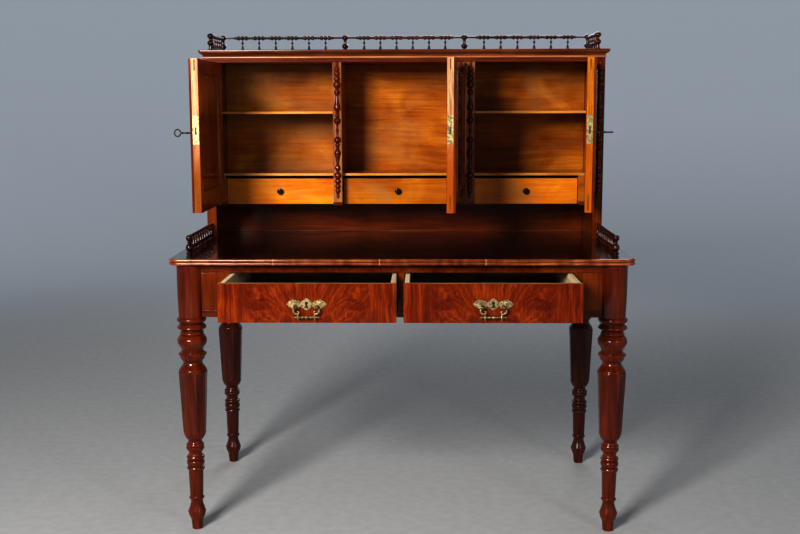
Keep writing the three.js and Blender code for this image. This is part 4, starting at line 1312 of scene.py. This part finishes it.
def make_shelf_edges():
    """Paler strips along the fronts of the shelves and the compartment floors: a painted highlight on edges
    that catch the light.
    """
    edge_highlight_wood = wood("shelf_edge_highlight", "x", 0.4, 0.34, 0.6, 0.4)
    floors = [f"compartment_floor_{name}" for name in ("left", "middle", "right")]
    for node in ("shelf_left", "shelf_right", *floors):
        low, high = box_mm(node)
        foot = high.z - SHELF_EDGE_HEIGHT
        strip = board((low.x + 0.3, low.y - 0.2, foot), (high.x - 0.3, low.y + 0.4, high.z))
        joinery(strip, f"edge_highlight_strip_{node}", edge_highlight_wood, 0.1)


# ---------- boards kept from the CAD model ----------

BOARD_BEVEL = 0.7
WELD_DISTANCE = 0.02
GRAIN_STEP = 0.37  # metres
# The boards' names, wood, grain, roughness and coat of polish. Their order sets where each one's figure
# starts, GRAIN_STEP further along the grain than the last.
BOARDS = (
    ("front_top_rail", "mahogany", "y", 0.28, 1.0),
    ("front_bottom_rail", "mahogany", "x", 0.28, 1.0),
    ("frieze_divider frieze_panel_left frieze_panel_right", "mahogany", "z", 0.28, 1.0),
    ("side_apron_left side_apron_right", "mahogany", "y", 0.28, 1.0),
    ("back_apron", "mahogany", "x", 0.40, 0.4),
    ("cabinet_side_left cabinet_side_right", "mahogany", "z", 0.26, 1.0),
    ("partition_left partition_right", "honey", "z", 0.36, 0.6),
    ("cabinet_back", "honey", "x", 0.40, 0.5),
    ("cabinet_top", "mahogany", "x", 0.36, 0.6),
    ("cabinet_bottom", "mahogany", "x", 0.32, 0.8),
    ("compartment_floor_left compartment_floor_middle compartment_floor_right", "honey", "x", 0.36, 0.6),
    ("shelf_left shelf_right", "honey", "x", 0.34, 0.6),
    # The left and right small drawers take the lighter amber copy: painted light.
    ("small_drawer_left", "amber_painted_light", "x", 0.34, 0.7),
    ("small_drawer_middle", "amber", "x", 0.34, 0.7),
    ("small_drawer_right", "amber_painted_light", "x", 0.34, 0.7),
    ("drawer_runner_left drawer_runner_middle drawer_runner_right", "pale", "y", 0.60, 0.0),
)


def finish_board(node, material):
    kept = frame["nodes"][node]
    kept.data.materials.clear()
    kept.data.materials.append(material)
    weld = kept.modifiers.new("joined_corners", "WELD")
    weld.merge_threshold = WELD_DISTANCE * MM
    soften(kept, BOARD_BEVEL)


def finish_boards():
    shift = 0
    for nodes, tone, grain, roughness, coat in BOARDS:
        figure = 0.35 if tone in CLOUDY else 0.5
        for node in nodes.split():
            finish_board(node, wood(tone, grain, round(GRAIN_STEP * shift, 2), roughness, coat, figure))
            shift += 1
    for hand in HANDS:
        box = f"drawer_box_{hand}"
        finish_board(box, drawer_wood_with_painted_shade(f"{box}_wood", box_mm(box)[1].z * MM))


# ---------- stage and light ----------

STAGE_FLOOR, STAGE_COVE, STAGE_HEIGHT = 4.4, 2.2, 4.6  # metres
STAGE_SIDES, COVE_STEPS = 96, 16
STAGE_DROP = 0.0002  # metres below the legs
FLOOR_GREYS = (0.44, 0.44, 0.44), (0.47, 0.47, 0.47)
BACKDROP, BACKDROP_GLOW = (0.30, 0.33, 0.37), (0.170, 0.184, 0.200)
WORLD_COLOUR, WORLD_STRENGTH = (0.55, 0.60, 0.68, 1), 0.10
EXPOSURE, GAMMA = 0.55, 0.7
# Each light's name, place, target, width, height (metres), power (watts) and colour.
LIGHTS = (
    ("key", (-1.5, -3.4, 2.2), (0, 0.1, 0.95), 0.9, 1.2, 165, (1.0, 0.97, 0.93)),
    ("fill", (2.3, -3.3, 1.8), (0, 0.1, 0.8), 0.6, 1.2, 16, (0.93, 0.96, 1.0)),
    ("back", (0.6, 3.9, 2.6), (0, 0.3, 0.8), 1.8, 1.2, 34, (0.96, 0.98, 1.0)),
)


def stage_material():
    """Pale speckled grey that turns into a faintly glowing blue-grey further out."""
    graph = Graph("pale_stage")
    speckle = graph.noise(graph.scaled_position(30.0), 3.0)
    pale = graph.mix(graph.remap(speckle, 0.3, 0.7), *FLOOR_GREYS)
    away = graph.add("ShaderNodeVectorMath", "Value", {0: graph.position()}, operation="LENGTH")
    rise = graph.remap(away, STAGE_FLOOR * 0.5, STAGE_FLOOR + STAGE_COVE)
    graph.feed(graph.shader.inputs["Emission Color"], graph.mix(rise, (0.0, 0.0, 0.0), BACKDROP_GLOW))
    graph.shader.inputs["Emission Strength"].default_value = 1.0
    return graph.finish(graph.mix(rise, pale, BACKDROP), 0.8, specular=0.0)


def make_stage():
    """A pale floor that curves up into a backdrop all round."""
    outline = [(STAGE_FLOOR, 0.0)]
    for step in range(1, COVE_STEPS + 1):
        turn = math.pi / 2 * step / COVE_STEPS
        outline.append((STAGE_FLOOR + STAGE_COVE * math.sin(turn), STAGE_COVE * (1 - math.cos(turn))))
    outline.append((STAGE_FLOOR + STAGE_COVE, STAGE_HEIGHT))
    rings = [[(x, y, height - STAGE_DROP) for x, y in ellipse(radius, radius, STAGE_SIDES)]
             for radius, height in outline]
    bowl = tube(rings)
    bowl.faces.pop()  # the bowl is open at the top
    mesh = bpy.data.meshes.new("stage")
    mesh.from_pydata(bowl.corners, [], [face[::-1] for face in bowl.faces])
    mesh.shade_smooth()
    mesh.materials.append(stage_material())
    stage = bpy.data.objects.new("stage", mesh)
    bpy.context.scene.collection.objects.link(stage)


def make_lights():
    scene = bpy.context.scene
    for name, place, target, width, height, power, colour in LIGHTS:
        data = bpy.data.lights.new(name, "AREA")
        data.shape = "RECTANGLE"
        data.size, data.size_y = width, height
        data.energy = power
        data.color = colour
        light = bpy.data.objects.new(name, data)
        light.location = place
        light.rotation_euler = (Vector(target) - Vector(place)).to_track_quat("-Z", "Y").to_euler()
        scene.collection.objects.link(light)
    world = bpy.data.worlds.new("studio")
    world.use_nodes = True
    background = world.node_tree.nodes["Background"]
    background.inputs["Color"].default_value = WORLD_COLOUR
    background.inputs["Strength"].default_value = WORLD_STRENGTH
    scene.world = world
    scene.view_settings.view_transform = "Standard"
    scene.view_settings.look = "None"
    scene.view_settings.exposure = EXPOSURE
    scene.view_settings.gamma = GAMMA


make_legs()
make_table_top()
make_cornice()
make_galleries()
make_half_columns()
make_doors()
make_drawers()
make_small_knobs()
make_back_shade_board()
make_pilaster_facings()
make_back_planks()
make_shelf_edges()
finish_boards()
make_stage()
make_lights()
